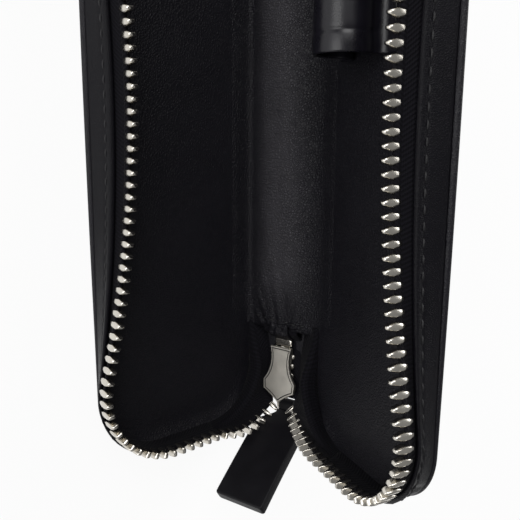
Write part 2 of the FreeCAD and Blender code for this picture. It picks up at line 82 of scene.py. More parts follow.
# Heights above the fold axis and insets from a half's outline, from its back to its rim
COVER_BACK = -1.6
COVER_TOP = -0.2
BOARD_TOP = 0.8
LINING_TOP = 1.8
WALL_THICK = 1.2
WALL_FOLD = 5.45        # where the wall's edge starts to fold over
STITCH_HEIGHT = 4.25    # seam round the wall
TAPE_FOOT = 2.0
TAPE_TOP = 9.2
TAPE_OUT = 1.3          # inset of the tape's outer face
TAPE_MID = 1.7          # inset of its middle, and of the tooth feet
TAPE_THICK = 0.8
FOLD_EDGE = 1.9         # where panels stop short of the fold axis
PANEL_MIDDLE = 12.0     # inset past which a panel's face is drawn together
PANEL_CORE = 12.1       # inset of the ring that is drawn together
PANEL_SPACING = 1.0
PANEL_REACH = 6.0       # how far from the wall a lining starts to rise
LEG_END = 24.9          # end of a wall's leg by the spine, from the end of the case
TAIL_END = 24.7         # upper end of the zip tails' ramp, from the end of the case

# Zip
PITCH = 2.5
TOOTH_OFFSETS = {-1: PITCH / 4, 1: PITCH * 3 / 4}
TOOTH_HALF = 0.85       # half a tooth's length along the strand
LEAD_TOOTH_HALF = 0.55
LEAD_PITCH = 1.1 * PITCH
LEAD_START = 0.8        # first tooth of a lead, from the slider's mouth
TOP_END_WIDTH = 3.0     # how far from the fold axis a half's tape ends
TAPE_HALF_GAP = HALF_DEPTH - TAPE_TOP
TAIL_Z = 1.9            # zip tails under the spine lining, from the fold axes
CHAIN_Z = -0.9          # plane of the closed zip at the slider
TAIL_RAMP = 2.0         # length of the ramp between these two heights
TAIL_STEP = 0.25        # between the points of the tails' line
LEAD_SPREAD = math.radians(40.0)    # between a lead at the slider's mouth and the slider
LEAD_LIFT = 18.0        # sixteen times the lift of a lead at its middle
END_SLOPE = 0.3         # slope of the left lead where it meets its half
WEB_INSET = 1.72        # inside of the wall, where a lead's tape is sewn in
SLIDER_TOP = 20.3       # from the end of the case
SLIDER_LENGTH = 15.0
SLIDER_HALF = 4.8
SLIDER_TOP_HALF = 3.2
SLIDER_TILT = math.radians(5.5)
PLATE_GAP = 1.6         # half the slot between the slider's plates
PLATE_THICK = 1.0
LINK_RADIUS = 0.5
LINK_LENGTH = 10.0
LINK_HALF = 3.2
CROWN_WIDTH = 2.4
CROWN_LENGTH = 6.4
CROWN_RISE = 2.4

# Spine, pull tab and loop
SPINE_HALF = 9.1
SPINE_END = 25.0        # ends of the spine's leather and lining, from the end of the case
SPINE_LINING_END = 26.5
PAD_FOOT = 1.58         # lower face of the padded lining, from the fold axes
PAD_SEAT = 1.62         # height from which the padding rises
FOLD_REACH = 1.6        # distance from a fold's axis, along its half
TAB_LENGTH = 27.9
TAB_HALF = 7.0
TAB_NECK = 2.4          # half width at the link
TAB_THICK = 3.0
TAB_TILT = math.radians(55.3)
LOOP_RADIUS = 5.95      # middle of the loop's leather
LOOP_WALL = 0.9
LOOP_LENGTH = 36.0
LOOP_START = 91.0       # from the lower end of the case
LOOP_PLACE = 21.0       # middle of the loop, from the fold axis
LOOP_WING = 11.0        # middle of the loop to the edge of a sewn wing

# Camera, fitted to the picture's frame
CAMERA_PLACE = (-0.08633, -0.00829, 0.13202)
CAMERA_RIGHT = (0.75752, 0.00708, 0.65278)
CAMERA_UP = (0.12026, 0.98132, -0.15019)
CAMERA_LENS = 44.97
SENSOR = 36.0

# Stage in metres and watts: each lamp's name, place, size and power
FLOOR_SPAN = 1.5        # half the floor's side
FLOOR_GLOW = 0.93       # share of plain white in the floor that the camera sees
LAMP_AIM = (0.01, 0.0, 0.02)
LAMPS = (
    ("key_lamp", (-0.35, 0.5, 0.55), 0.5, 3.5),
    ("side_lamp", (-0.9, 0.0, 0.22), 0.6, 3.7),
    ("back_lamp", (0.6, 0.2, 0.5), 0.5, 2.5),
)
WHITE = (1.0, 1.0, 1.0, 1.0)
WORLD_STRENGTH = 0.25

JOINTS = {joint["name"]: joint for joint in frame["record"]["behaviour"]["joints"]}
ALONG = np.array([0.0, 1.0, 0.0])


class Place:
    """Frame of one part of the case at rest: an origin in millimetres and three directions."""

    def __init__(self, origin, first, second, third):
        self.origin = np.asarray(origin, float)
        self.axes = [np.asarray(a, float) for a in (first, second, third)]

    def at(self, a, b, c):
        """Points with the given coordinates, as an array whose last axis is x, y, z."""
        return self.origin + self.turned(a, b, c)

    def turned(self, a, b, c):
        """Directions with the given coordinates."""
        parts = zip(np.broadcast_arrays(a, b, c), self.axes)
        return sum(value[..., None] * axis for value, axis in parts)


def pivot(name):
    """Place of a joint's axis in millimetres."""
    return np.array(JOINTS[name]["pos_m"]) / MM


def case_places():
    """Frames of the two halves, the spine, the slider and the tab, from the frame's joints."""
    shut = sum(JOINTS[name + "_fold_hinge"]["range_deg"][0] for name in ("left", "right"))
    opening = -math.radians(shut)
    left_axis = pivot("left_fold_hinge")
    right_axis = pivot("right_fold_hinge")
    across = (right_axis - left_axis) / np.linalg.norm(right_axis - left_axis)
    inward = np.cross(across, ALONG)
    up = ALONG * math.cos(SLIDER_TILT) - inward * math.sin(SLIDER_TILT)
    face = ALONG * math.sin(SLIDER_TILT) + inward * math.cos(SLIDER_TILT)
    away = -ALONG * math.cos(TAB_TILT) + inward * math.sin(TAB_TILT)
    middle = (left_axis + right_axis) / 2
    lift = (-math.cos(opening), 0, math.sin(opening))
    slider_top = middle + ALONG * (SLIDER_TOP - HALF) + inward * CHAIN_Z
    return {
        "left_half": Place(left_axis, (-1, 0, 0), ALONG, (0, 0, 1)),
        "right_half": Place(right_axis, lift, ALONG, (-math.sin(opening), 0, -math.cos(opening))),
        "spine": Place(middle, across, ALONG, inward),
        "slider": Place(slider_top, across, up, face),
        "tab": Place(pivot("tab_swing"), across, away, np.cross(across, away)),
    }


PLACES = case_places()
SIDES = {"left": -1, "right": 1}
HALVES = {-1: "left_half", 1: "right_half"}


def smooth(low, high, value):
    """Smooth step from 0 at low to 1 at high."""
    t = np.clip((value - low) / (high - low), 0, 1)
    return t * t * (3 - 2 * t)


def unit(vectors):
    """Vectors of length 1."""
    return vectors / np.linalg.norm(vectors, axis=-1, keepdims=True)


def squared(value, power):
    """Power of a number that keeps its sign: below 1 it squares off a sine or a cosine."""
    return np.sign(value) * np.abs(value) ** power


def full_turn(count):
    """Angles of a full turn in equal steps, without the last one."""
    return np.linspace(0, 2 * math.pi, count, endpoint=False)


def walked(points):
    """Distance run along a line at each of its points."""
    return np.concatenate([[0], np.cumsum(np.linalg.norm(np.diff(points, axis=0), axis=1))])


def level(n):
    """Share of the way from the foot of the wall to the rim."""
    return (np.asarray(n, float) - COVER_TOP) / (TAPE_TOP - COVER_TOP)


def rim_values(share):
    """Width, corner radius, bow and the bow's radius and swing of a half's outline at a height."""
    width = BASE_WIDTH - BASE_IN + (RIM_WIDTH - BASE_WIDTH + BASE_IN) * share
    radius = BASE_RADIUS + (RIM_RADIUS - BASE_RADIUS) * share
    bow = BASE_BOW + (RIM_BOW - BASE_BOW) * share
    rise = HALF - radius
    bow_radius = (rise ** 2 + bow ** 2) / (2 * bow) - radius
    swing = np.arcsin(rise / (radius + bow_radius))
    return width, radius, bow, bow_radius, swing


# Stretches of a half's outline with their rough lengths, which set how many rows each one gets
STRETCHES = {
    "low_leg": 6.0, "low_spine": 27.0, "low_end": 12.0, "low_corner": 34.0, "side": 130.0,
    "high_corner": 34.0, "high_end": 12.0, "high_spine": 27.0, "high_leg": 6.0, "spine_side": 134.0,
}
WALL_PATH = ("low_leg", "low_spine", "low_end", "low_corner", "side",
             "high_corner", "high_end", "high_spine", "high_leg")
PANEL_PATH = ("low_spine", "low_end", "low_corner", "side",
              "high_corner", "high_end", "high_spine", "spine_side")
STRAND_PATH = ("low_end", "low_corner", "side", "high_corner", "high_end", "high_spine")


def outline(stretch, t, share, inset):
    """Point and outward direction at the share t of one stretch: corners are arcs about their
    centres, the side is an arc about a centre outside the case, ends and legs are straight."""
    width, radius, bow, bow_radius, swing = rim_values(share)
    rise = HALF - radius
    corners = {
        "low_spine": (radius, -rise, 2 * QUARTER, QUARTER),
        "low_corner": (width - radius, -rise, -QUARTER, QUARTER + swing),
        "high_corner": (width - radius, rise, -swing, QUARTER + swing),
        "high_spine": (radius, rise, QUARTER, QUARTER),
    }
    none = np.zeros_like(t * share * inset)
    if stretch in corners:
        centre, along, start, sweep = corners[stretch]
        cos, sin = np.cos(start + sweep * t), np.sin(start + sweep * t)
        reach = radius - inset
        return centre + reach * cos, along + reach * sin, cos + none, sin + none
    if stretch == "side":
        angle = math.pi + swing * (1 - 2 * t)
        cos, sin = np.cos(angle), np.sin(angle)
        reach = bow_radius + inset
        return width - bow + bow_radius + reach * cos, reach * sin, -cos + none, -sin + none
    if stretch in ("low_end", "high_end"):
        sign = -1 if stretch == "low_end" else 1
        run = t if sign < 0 else 1 - t
        across = radius + (width - 2 * radius) * run
        return across + none, sign * (HALF - inset) + none, none, none + sign
    leg = HALF - LEG_END
    spans = {"low_leg": (-leg, -rise), "high_leg": (rise, leg), "spine_side": (rise, -rise)}
    start, end = spans[stretch]
    return inset + none, start + (end - start) * t + none, none - 1, none


def carried(path, inset, n, spacing, closed=False, last=1.0):
    """Profile of insets and heights carried along a path of stretches. Gives u, along, their
    outward direction and the share run of each corner, which is -1 elsewhere, as arrays of path by
    profile."""
    inset, n = np.asarray(inset, float), np.asarray(n, float)
    rows = []
    for stretch in path:
        final = stretch == path[-1]
        end = last if final else 1.0
        count = max(3, round(STRETCHES[stretch] * end / spacing))
        t = np.linspace(0, end, count, endpoint=final and not closed)[:, None]
        run = t if stretch.endswith("corner") else np.full_like(t, -1)
        point = outline(stretch, t, level(n)[None, :], inset[None, :])
        rows.append(np.stack(np.broadcast_arrays(*point, run), -1))
    return np.moveaxis(np.concatenate(rows), -1, 0)


def paced(points, pitch, offset=0.0):
    """Places and directions at equal steps along a line of points."""
    distance = walked(points)
    marks = np.arange(offset, distance[-1], pitch)

    def read(at):
        """Points of the line at the given distances."""
        return np.stack([np.interp(at, distance, points[:, k]) for k in range(3)], -1)

    return read(marks), unit(read(marks + pitch / 8) - read(marks - pitch / 8))


def thickened(grid, thick):
    """Closed form of a sheet: the grid moved half its thickness to each side along its normals."""
    across = np.gradient(grid, axis=1)
    along = np.gradient(grid, axis=0)
    half = unit(np.cross(along, across)) * (np.asarray(thick) / 2)[..., None]
    return np.concatenate([grid + half, (grid - half)[:, ::-1]], axis=1)


def edge_taper(rows, columns, share=0.45):
    """Thickness shares of a sheet whose border is rounded off."""
    thick = np.ones((rows, columns))
    thick[:, [0, -1]] *= share
    thick[[0, -1], :] *= share
    return thick


def quad_faces(rows, columns, wrap):
    """Corners of the quads between neighbouring rows and columns of a grid, which may close on
    itself along its rows, its columns or both."""
    r, c = np.meshgrid(np.arange(rows if wrap[0] else rows - 1),
                       np.arange(columns if wrap[1] else columns - 1), indexing="ij")
    r1, c1 = (r + 1) % rows, (c + 1) % columns
    corners = (r * columns + c, r * columns + c1, r1 * columns + c1, r1 * columns + c)
    return list(np.stack(corners, -1).reshape(-1, 4))


def tube_faces(rings):
    """Points and faces of a closed tube of rings with flat ends."""
    rows, columns = rings.shape[:2]
    index = np.arange(rows * columns).reshape(rows, columns)
    ends = [index[0][::-1], index[-1]]
    return rings.reshape(-1, 3), quad_faces(rows, columns, (False, True)) + ends


class Skin:
    """Closed shells gathered into one mesh, in millimetres."""

    def __init__(self):
        self.points, self.faces, self.maps = [], [], []
        self.count = 0

    def add(self, grid, wrap=(False, True), caps="rows", uv=None):
        """Adds the quads between neighbouring rows and columns of a grid, with flat caps on its
        first and last rows or columns, turned so that the shell's volume is positive."""
        rows, columns = grid.shape[:2]
        faces = quad_faces(rows, columns, wrap)
        index = np.arange(rows * columns).reshape(rows, columns)
        if caps == "rows":
            faces += [index[0][::-1], index[-1]]
        if caps == "columns":
            faces += [index[:, 0], index[:, -1][::-1]]
        return self.gather(grid.reshape(-1, 3), faces, None if uv is None else uv.reshape(-1, 2))

    def gather(self, points, faces, uv=None):
        """Adds one closed shell, its faces turned outwards by the sign of its volume."""
        origin = points.mean(axis=0)
        volume = 0.0
        for size in {len(face) for face in faces}:
            corners = points[np.array([face for face in faces if len(face) == size])] - origin
            for k in range(1, size - 1):
                area = np.cross(corners[:, k], corners[:, k + 1])
                volume += np.einsum("ij,ij->", corners[:, 0], area)
        turn = -1 if volume < 0 else 1
        self.faces += [face[::turn] + self.count for face in faces]
        self.points.append(points)
        self.maps.append(np.zeros((len(points), 2)) if uv is None else uv)
        self.count += len(points)
        return self

    def repeat(self, points, faces, places, first, second, third):
        """Adds copies of a small shell, one at each place, along its three directions."""
        axes = np.stack([first, second, third], 1)
        copies = places[:, None, :] + np.einsum("mk,ckx->cmx", points, axes)
        for copy in copies:
            self.gather(copy, faces)
        return self

    def piece(self, name, finish, body=None, nodes=(), slot=None, crisp=None):
        """Makes the mesh object, rides it on a body and hides the nodes that it stands for. Edges
        that turn by more than the crisp angle stay sharp."""
        mesh = bpy.data.meshes.new(name)
        points = np.concatenate(self.points) * MM
        loops = np.concatenate(self.faces)
        sizes = np.array([len(face) for face in self.faces])
        mesh.vertices.add(len(points))
        mesh.vertices.foreach_set("co", points.ravel())
        mesh.loops.add(len(loops))
        mesh.loops.foreach_set("vertex_index", loops)
        mesh.polygons.add(len(sizes))
        mesh.polygons.foreach_set("loop_start", np.concatenate([[0], np.cumsum(sizes)[:-1]]))
        mesh.polygons.foreach_set("use_smooth", np.ones(len(sizes), bool))
        mesh.update(calc_edges=True)
        if crisp:
            mesh.set_sharp_from_angle(angle=crisp)
        layer = mesh.uv_layers.new(name="Surface")
        layer.uv.foreach_set("vector", (np.concatenate(self.maps)[loops] * MM).ravel())
        if mesh.validate():
            raise RuntimeError("the mesh of " + name + " was not sound")
        mesh.materials.append(finish)
        piece = bpy.data.objects.new(name, mesh)
        bpy.context.scene.collection.objects.link(piece)
        if body:
            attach(piece, body)
        if nodes:
            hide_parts(*nodes)
        return piece


class Value:
    """Number socket of a finish: sums on it add Math nodes."""

    def __init__(self, finish, socket):
        self.finish = finish
        self.socket = socket

    def combine(self, operation, first, second):
        """Math node of two numbers."""
        node = self.finish.node("ShaderNodeMath", {"operation": operation}, {0: first, 1: second})
        return node.value("Value")

    def __add__(self, other):
        return self.combine("ADD", self, other)

    __radd__ = __add__

    def __sub__(self, other):
        return self.combine("SUBTRACT", self, other)

    def __rsub__(self, other):
        return self.combine("SUBTRACT", other, self)

    def __mul__(self, other):
        return self.combine("MULTIPLY", self, other)

    __rmul__ = __mul__

    def __truediv__(self, other):
        return self.combine("DIVIDE", self, other)

    def least(self, other):
        """Smaller of two numbers."""
        return self.combine("MINIMUM", self, other)

    def most(self, other):
        """Larger of two numbers."""
        return self.combine("MAXIMUM", self, other)

    def size(self):
        """Number without its sign."""
        return self.combine("ABSOLUTE", self, 0.0)

    def sine(self):
        """Sine of the number."""
        return self.combine("SINE", self, 0.0)

    def saw(self):
        """Number folded up and down between 0 and 1."""
        return self.combine("PINGPONG", self, 1.0)


class NodeHandle:
    """Node of a finish, whose sockets are read by name."""

    def __init__(self, finish, node):
        self.finish = finish
        self.node = node

    def value(self, name):
        """Output socket as a number."""
        return Value(self.finish, self.node.outputs[name])


class Finish:
    """Material built from nodes."""

    def __init__(self, name):
        self.material = bpy.data.materials.new(name)
        self.material.use_nodes = True
        self.tree = self.material.node_tree
        self.tree.nodes.clear()

    def node(self, kind, settings=None, sockets=None):
        """Adds a node of a kind: its settings first, then the values or links of its sockets."""
        node = self.tree.nodes.new(kind)
        for key, value in (settings or {}).items():
            setattr(node, key, value)
        for key, value in (sockets or {}).items():
            if isinstance(value, Value):
                self.tree.links.new(value.socket, node.inputs[key])
            else:
                node.inputs[key].default_value = value
        return NodeHandle(self, node)

    def millimetres(self, source="Object"):
        """Object or UV coordinates of the surface in millimetres."""
        where = self.node("ShaderNodeTexCoord").value(source)
        sockets = {0: where, "Scale": 1 / MM}
        return self.node("ShaderNodeVectorMath", {"operation": "SCALE"}, sockets).value("Vector")

    def noise(self, where, size, detail=2.0):
        """Smooth noise between 0 and 1 with features of a size in millimetres."""
        sockets = {"Vector": where, "Scale": 1 / size, "Detail": detail}
        return self.node("ShaderNodeTexNoise", None, sockets).value("Fac")

    def cells(self, where, size):
        """Distance to the border of irregular cells of a size in millimetres."""
        settings = {"feature": "DISTANCE_TO_EDGE"}
        sockets = {"Vector": where, "Scale": 1 / size}
        return self.node("ShaderNodeTexVoronoi", settings, sockets).value("Distance")

    def mix(self, share, first, second):
        """Mix of two colour values or linked colours. The Mix node's colour sockets go by
        number."""
        sockets = {0: share, 6: first, 7: second}
        mixed = self.node("ShaderNodeMix", {"data_type": "RGBA"}, sockets)
        return Value(self, mixed.node.outputs[2])

    def tint(self, share, colour, low, high):
        """Mix of a colour made darker and the same colour made lighter."""
        return self.mix(share, (*shade(colour, low), 1.0), (*shade(colour, high), 1.0))

    def reading(self, where, direction):
        """Distance along a direction."""
        settings = {"operation": "DOT_PRODUCT"}
        sockets = {0: where, 1: tuple(direction)}
        return self.node("ShaderNodeVectorMath", settings, sockets).value("Value")

    def bump(self, height, depth):
        """Normal of a surface whose height runs from 0 to 1 over a depth in millimetres."""
        sockets = {"Height": height, "Distance": depth * MM, "Strength": 1.0}
        return self.node("ShaderNodeBump", None, sockets).value("Normal")

    def close(self, sockets):
        """Ends the material in one surface shader."""
        shader = self.node("ShaderNodeBsdfPrincipled", None, sockets)
        self.node("ShaderNodeOutputMaterial", None, {"Surface": shader.value("BSDF")})
        return self.material


def shade(colour, factor):
    """Colour made lighter or darker."""
    return tuple(min(1.0, part * factor) for part in colour[:3])


def painted_light_share(finish, where):
    """Share of painted light on the spine, a painted highlight that is full along its middle and
    none at its sides and stitched ends, and the height of the fine wrinkles that run across it."""
    spine = PLACES["spine"]
    half_width, stretch, wrinkle_size = 9.5, 2.6, 0.75
    across, along = finish.reading(where, spine.axes[0]), finish.reading(where, ALONG)
    off = (across - float(np.dot(spine.origin, spine.axes[0]))) / half_width
    sockets = {"X": across / stretch, "Y": along}
    flat = finish.node("ShaderNodeCombineXYZ", None, sockets).value("Vector")
    end = HALF - SPINE_LINING_END
    settings = {"interpolation_type": "SMOOTHSTEP"}
    sockets = {"Value": along.size(), "From Min": end - 16, "From Max": end - 1,
               "To Min": 1.0, "To Max": 0.0}
    fade = finish.node("ShaderNodeMapRange", settings, sockets).value("Result")
    middle = (1.0 - off * off).most(0.0)
    return middle * middle * fade, finish.noise(flat, wrinkle_size)


def grained_leather(name, colour, grain, depth, roughness, gloss=0.26, painted_light=0.0):
    """Leather: pebbles between creases at cell borders, fine pores, broad soft unevenness, and
    gloss that drops in the creases. On the spine, painted light makes the colour lighter along its
    middle, a painted highlight."""
    finish = Finish(name)
    where = finish.millimetres()
    pebble = (finish.cells(where, grain) * 3.2).least(1.0)
    pores = finish.noise(where, grain / 3, 3.0)
    broad = finish.noise(where, 9.0, 3.0)
    height = pebble * 0.62 + pores * 0.3 + broad * 0.25
    worn = broad * 0.55 + pebble * 0.45
    base = finish.tint(worn, colour, 0.7, 1.35)
    # Painted light: the colour along the spine's middle is made several times lighter, a painted
    # highlight standing in for the light that falls there.
    if painted_light:
        neutral = (colour[0], 0.95 * colour[0], 1.1 * colour[0])
        light = finish.tint(worn, neutral, 0.35 * painted_light, 1.75 * painted_light)
        share, wrinkles = painted_light_share(finish, where)
        height = height + wrinkles * share * 1.4
        base = finish.mix(share, base, light)
    return finish.close({
        "Base Color": base,
        "Roughness": roughness + 0.2 * (broad - 0.5) - 0.1 * (pebble - 0.5),
        "Specular IOR Level": gloss,
        "Normal": finish.bump(height, depth),
    })


def smooth_leather(name, colour, roughness, gloss):
    """Smooth finished leather of the tab and the loop: faint creases, scuffs and pores."""
    finish = Finish(name)
    where = finish.millimetres()
    pores = finish.noise(where, 0.35, 3.0)
    scuffs = finish.noise(where, 4.0, 4.0)
    return finish.close({
        "Base Color": finish.tint(scuffs, colour, 0.75, 1.4),
        "Roughness": roughness + 0.22 * (scuffs - 0.5),
        "Specular IOR Level": gloss,
        "Normal": finish.bump(pores * 0.5 + scuffs * 0.5, 0.05),
    })


def woven_tape(name, colour):
    """Zip tape: slanting ribs that turn back at every band, with fine threads across them. The
    surface map runs along the tape and across it in millimetres."""
    finish = Finish(name)
    where = finish.millimetres("UV")
    split = finish.node("ShaderNodeSeparateXYZ", None, {"Vector": where})
    along, across = split.value("X"), split.value("Y")
    band, slant, rib_pitch, thread_pitch = 2.6, 2.2, 0.95, 0.42
    zigzag = (across / band).saw() * slant
    ribs = ((along + zigzag) * (2 * math.pi / rib_pitch)).sine() * 0.5 + 0.5
    threads = (across * (2 * math.pi / thread_pitch)).sine() * 0.5 + 0.5
    fuzz = finish.noise(finish.millimetres(), 0.3, 3.0)
    height = ribs * 0.6 + threads * 0.22 + fuzz * 0.3
    return finish.close({
        "Base Color": finish.tint(height, colour, 0.45, 1.7),
        "Roughness": 0.8 + 0.2 * (fuzz - 0.5),
        "Specular IOR Level": 0.1,
        "Sheen Weight": 0.02,
        "Normal": finish.bump(height, 0.16),
    })


def polished_metal(name, colour, roughness):
    """Polished plated metal: soft tarnish, hairline marks and a faint hammered waviness."""
    finish = Finish(name)
    where = finish.millimetres()
    tarnish = finish.noise(where, 2.2, 3.0)
    marks = finish.noise(where, 0.16, 2.0)
    return finish.close({
        "Base Color": finish.tint(tarnish, colour, 0.82, 1.08),
        "Metallic": 1.0,
        "Roughness": roughness + 0.16 * (tarnish - 0.5) + 0.08 * (marks - 0.5),
        "Normal": finish.bump(tarnish * 0.7 + marks * 0.3, 0.035),
    })


def sewing_thread(name, colour):
    """Waxed thread: fibres along a twist and a dull gloss."""
    finish = Finish(name)
    where = finish.millimetres()
    fibres = finish.noise(where, 0.18, 2.0)
    return finish.close({
        "Base Color": finish.tint(fibres, colour, 0.6, 1.5),
        "Roughness": 0.5 + 0.2 * (fibres - 0.5),
        "Specular IOR Level": 0.4,
        "Normal": finish.bump(fibres, 0.06),
    })


def fibre_board(name, colour):
    """Pressed board between leather and lining."""
    finish = Finish(name)
    fibres = finish.noise(finish.millimetres(), 0.8, 4.0)
    return finish.close({
        "Base Color": finish.tint(fibres, colour, 0.8, 1.2),
        "Roughness": 0.8 + 0.1 * (fibres - 0.5),
        "Normal": finish.bump(fibres, 0.08),
    })


class PenCaseLooks(bpy.types.PropertyGroup):
    """Sizes and colours of the case that a user would change."""

    cover_colour: FloatVectorProperty(
        name="Cover leather", description="Colour of the outer leather",
        subtype="COLOR", default=(0.0062, 0.0057, 0.0088))
    lining_colour: FloatVectorProperty(
        name="Lining leather", description="Colour of the lining",
        subtype="COLOR", default=(0.0058, 0.0053, 0.0082))
    tab_colour: FloatVectorProperty(
        name="Tab leather", description="Colour of the pull tab",
        subtype="COLOR", default=(0.0034, 0.0031, 0.0046))
    tape_colour: FloatVectorProperty(
        name="Zip tape", description="Colour of the woven tape",
        subtype="COLOR", default=(0.0034, 0.0031, 0.0048))
    metal_colour: FloatVectorProperty(
        name="Zip metal", description="Colour of teeth, stops, slider and link",
        subtype="COLOR", default=(0.70, 0.665, 0.60))
    thread_colour: FloatVectorProperty(
        name="Thread", description="Colour of the stitching",
        subtype="COLOR", default=(0.0055, 0.0052, 0.0066))
    grain: FloatProperty(
        name="Grain", description="Size of the lining's pebbles", default=0.6 * MM, unit="LENGTH")
    stitch_pitch: FloatProperty(
        name="Stitch pitch", description="Distance between stitches",
        default=3.0 * MM, unit="LENGTH")
    stitch_length: FloatProperty(
        name="Stitch length", description="Thread that shows in each stitch",
        default=2.1 * MM, unit="LENGTH")
    pleat_depth: FloatProperty(
        name="Pleat depth", description="Depth of the gathers at the outer corners",
        default=0.32 * MM, unit="LENGTH")
    spine_bulge: FloatProperty(
        name="Spine bulge", description="How far the padded spine stands into the case",
        default=1.9 * MM, unit="LENGTH")


FINISHES = {}


def looks():
    """The case's settings."""
    return bpy.context.scene.pen_case_looks


def finish(name):
    """The named finish, made when it is first asked for."""
    if name not in FINISHES:
        set_up = looks()
        grain = set_up.grain / MM
        cover, lining, metal = set_up.cover_colour, set_up.lining_colour, set_up.metal_colour
        # Grained leather: colour, grain and depth in millimetres, roughness, gloss, painted light.
        # Smooth leather: colour, roughness, gloss. Metal: colour, roughness.
        makers = {
            "cover leather": (grained_leather, cover, grain * 0.8, 0.07, 0.42),
            # Wall leather is the cover's colour made darker: painted shade on the walls.
            "wall leather": (grained_leather, shade(cover, 0.6), grain * 0.7, 0.06, 0.42, 0.13),
            "lining leather": (grained_leather, lining, grain, 0.15, 0.5),
            # Spine leather: the lining's colour with painted light along the spine's middle.
            "spine leather": (grained_leather, lining, grain, 0.2, 0.46, 0.28, 6.0),
            "tab leather": (smooth_leather, set_up.tab_colour, 0.46, 0.2),
            "loop leather": (smooth_leather, cover, 0.3, 0.4),
            "zip tape": (woven_tape, set_up.tape_colour),
            "tooth metal": (polished_metal, metal, 0.22),
            "slider metal": (polished_metal, metal, 0.42),
            "thread": (sewing_thread, set_up.thread_colour),
            "board": (fibre_board, (0.05, 0.05, 0.05)),
        }
        maker, *settings = makers[name]
        FINISHES[name] = maker(name, *settings)
    return FINISHES[name]


def panel(half, inset, n, rise=0.0):
    """Panel of a half: a profile carried round the whole outline, trimmed straight at the fold and
    drawn together along the middle of each face. Its upper face may rise in a soft curve towards
    the wall."""
    u, along, _, _, _ = carried(PANEL_PATH, inset, n, PANEL_SPACING, closed=True)
    u = np.maximum(u, FOLD_EDGE)
    inner = inset > PANEL_MIDDLE
    u, along = u + (BASE_WIDTH / 2 - u) * 0.98 * inner, along * (1 - 0.15 * inner)
    lift = rise * np.clip(1 - inset / PANEL_REACH, 0, 1) ** 2 * smooth(2, 9, u)
    top = n > (np.min(n) + np.max(n)) / 2
    points = PLACES[half].at(u, along, n + lift * top)
    return Skin().add(points, wrap=(True, False), caps="columns")


def cover_shell(half):
    """Cover: flat back, rolled edge that stands a little proud of the wall's foot, hidden inner
    face."""
    turn = np.linspace(0, math.pi * 0.94, 9)
    middle, tall = (COVER_BACK + COVER_TOP) / 2, (COVER_TOP - COVER_BACK) / 2
    roll_in = 0.5 - 0.75 * np.sin(turn)
    roll_n = middle - tall * np.cos(turn)
    back, inner = [PANEL_CORE, PANEL_MIDDLE, 6.0, 2.0, 1.0], [1.2, PANEL_MIDDLE, PANEL_CORE]
    inset = np.concatenate([back, roll_in, inner])
    n = np.concatenate([[COVER_BACK] * 5, roll_n, [COVER_TOP - 0.02] * 3])
    return panel(half, inset, n)


def lining_shell(half):
    """Lining: flat in the middle and turned up softly where it meets the zip tape."""
    inset = np.array([PANEL_CORE, PANEL_MIDDLE, 9.0, 7.0, 6.0, 5.2, 4.5, 3.8, 3.2, 2.7, 2.3, 2.0,
                      1.75, 1.55, 1.42, 1.38, 1.38, PANEL_MIDDLE, PANEL_CORE])
    n = np.concatenate([[LINING_TOP] * 15, [LINING_TOP - 0.3], [BOARD_TOP + 0.02] * 3])
    return panel(half, inset, n, rise=2.4)


def pleats(run, n):
    """Gathers of the leather round an outer corner, deepest near the stitches: two sets of waves
    whose spacing wanders, fading out at both ends of the corner."""
    depth = looks().pleat_depth / MM
    wave = np.sin(40 * run + 1.5 * np.sin(7 * run))
    wave = wave + 0.6 * np.sin(67 * run + 2 * np.sin(11 * run + 1))
    fade = smooth(0.04, 0.3, run) * (1 - smooth(0.7, 0.96, run))
    foot = smooth(-0.4, 2.5, n) * (1 - 0.6 * smooth(5.0, 5.9, n))
    return depth * 0.5 * (wave - 0.8) * fade * foot


def wall_shell(half):
    """Wall: outer face from the cover up, drawn in along the stitches, folded over at its free
    edge. Its legs slope down to slip under the spine lining."""
    up = np.array([-0.2, 0.1, 0.5, 1.0, 1.7, 2.4, 3.1, 3.6, 4.0, STITCH_HEIGHT, 4.5, 4.8, 5.1, 5.4])
    seam = 0.16 * np.exp(-((up - STITCH_HEIGHT) / 0.28) ** 2)
    groove = seam + 0.22 * np.exp(-((up + 0.2) / 0.3) ** 2)
    turn = np.linspace(0, math.pi, 9)[1:]
    proud = 0.08
    fold_in = WALL_THICK / 2 - (WALL_THICK / 2 + proud) * np.cos(turn)
    fold_n = WALL_FOLD + 0.5 * np.sin(turn)
    outer = groove - proud * smooth(4.6, 5.2, up)
    inset = np.concatenate([outer, fold_in, [1.26, 1.26, WALL_THICK]])
    n = np.concatenate([up, fold_n, [4.0, 2.2, -0.2]])
    u, along, out_u, out_along, run = carried(WALL_PATH, inset, n, 0.45)
    push = pleats(run, n[None, :]) * (np.arange(len(n)) < len(up))
    high = np.where(n > 0, n * (1 - leg_slope(along) * (u < 6)), n)
    return Skin().add(PLACES[half].at(u + out_u * push, along + out_along * push, high))


def tape_shell(half):
    """Zip tape: a thin strip up the inside of the wall with a round cord at its edge."""
    cord = 0.62
    turn = np.linspace(-math.pi * 0.8, math.pi * 0.8, 11)
    cord_in = TAPE_MID + cord * np.sin(turn)
    cord_n = TAPE_TOP - cord + cord * np.cos(turn)
    flat = np.linspace(TAPE_FOOT, 7.9, 8)
    outer, inner = np.full(8, TAPE_OUT + 0.05), np.full(8, TAPE_OUT + TAPE_THICK - 0.1)
    inset = np.concatenate([outer, cord_in, inner])
    n = np.concatenate([flat, cord_n, flat[::-1]])
    end = 1 - math.acos(1 - TOP_END_WIDTH / RIM_RADIUS) / QUARTER
    u, along, _, _, _ = carried(STRAND_PATH, inset, n, 0.8, last=end)
    points = PLACES[half].at(u, along, n)
    run, height = np.broadcast_arrays(walked(points[:, 0])[:, None], n)
    return Skin().add(points, uv=np.stack([run, height], -1))


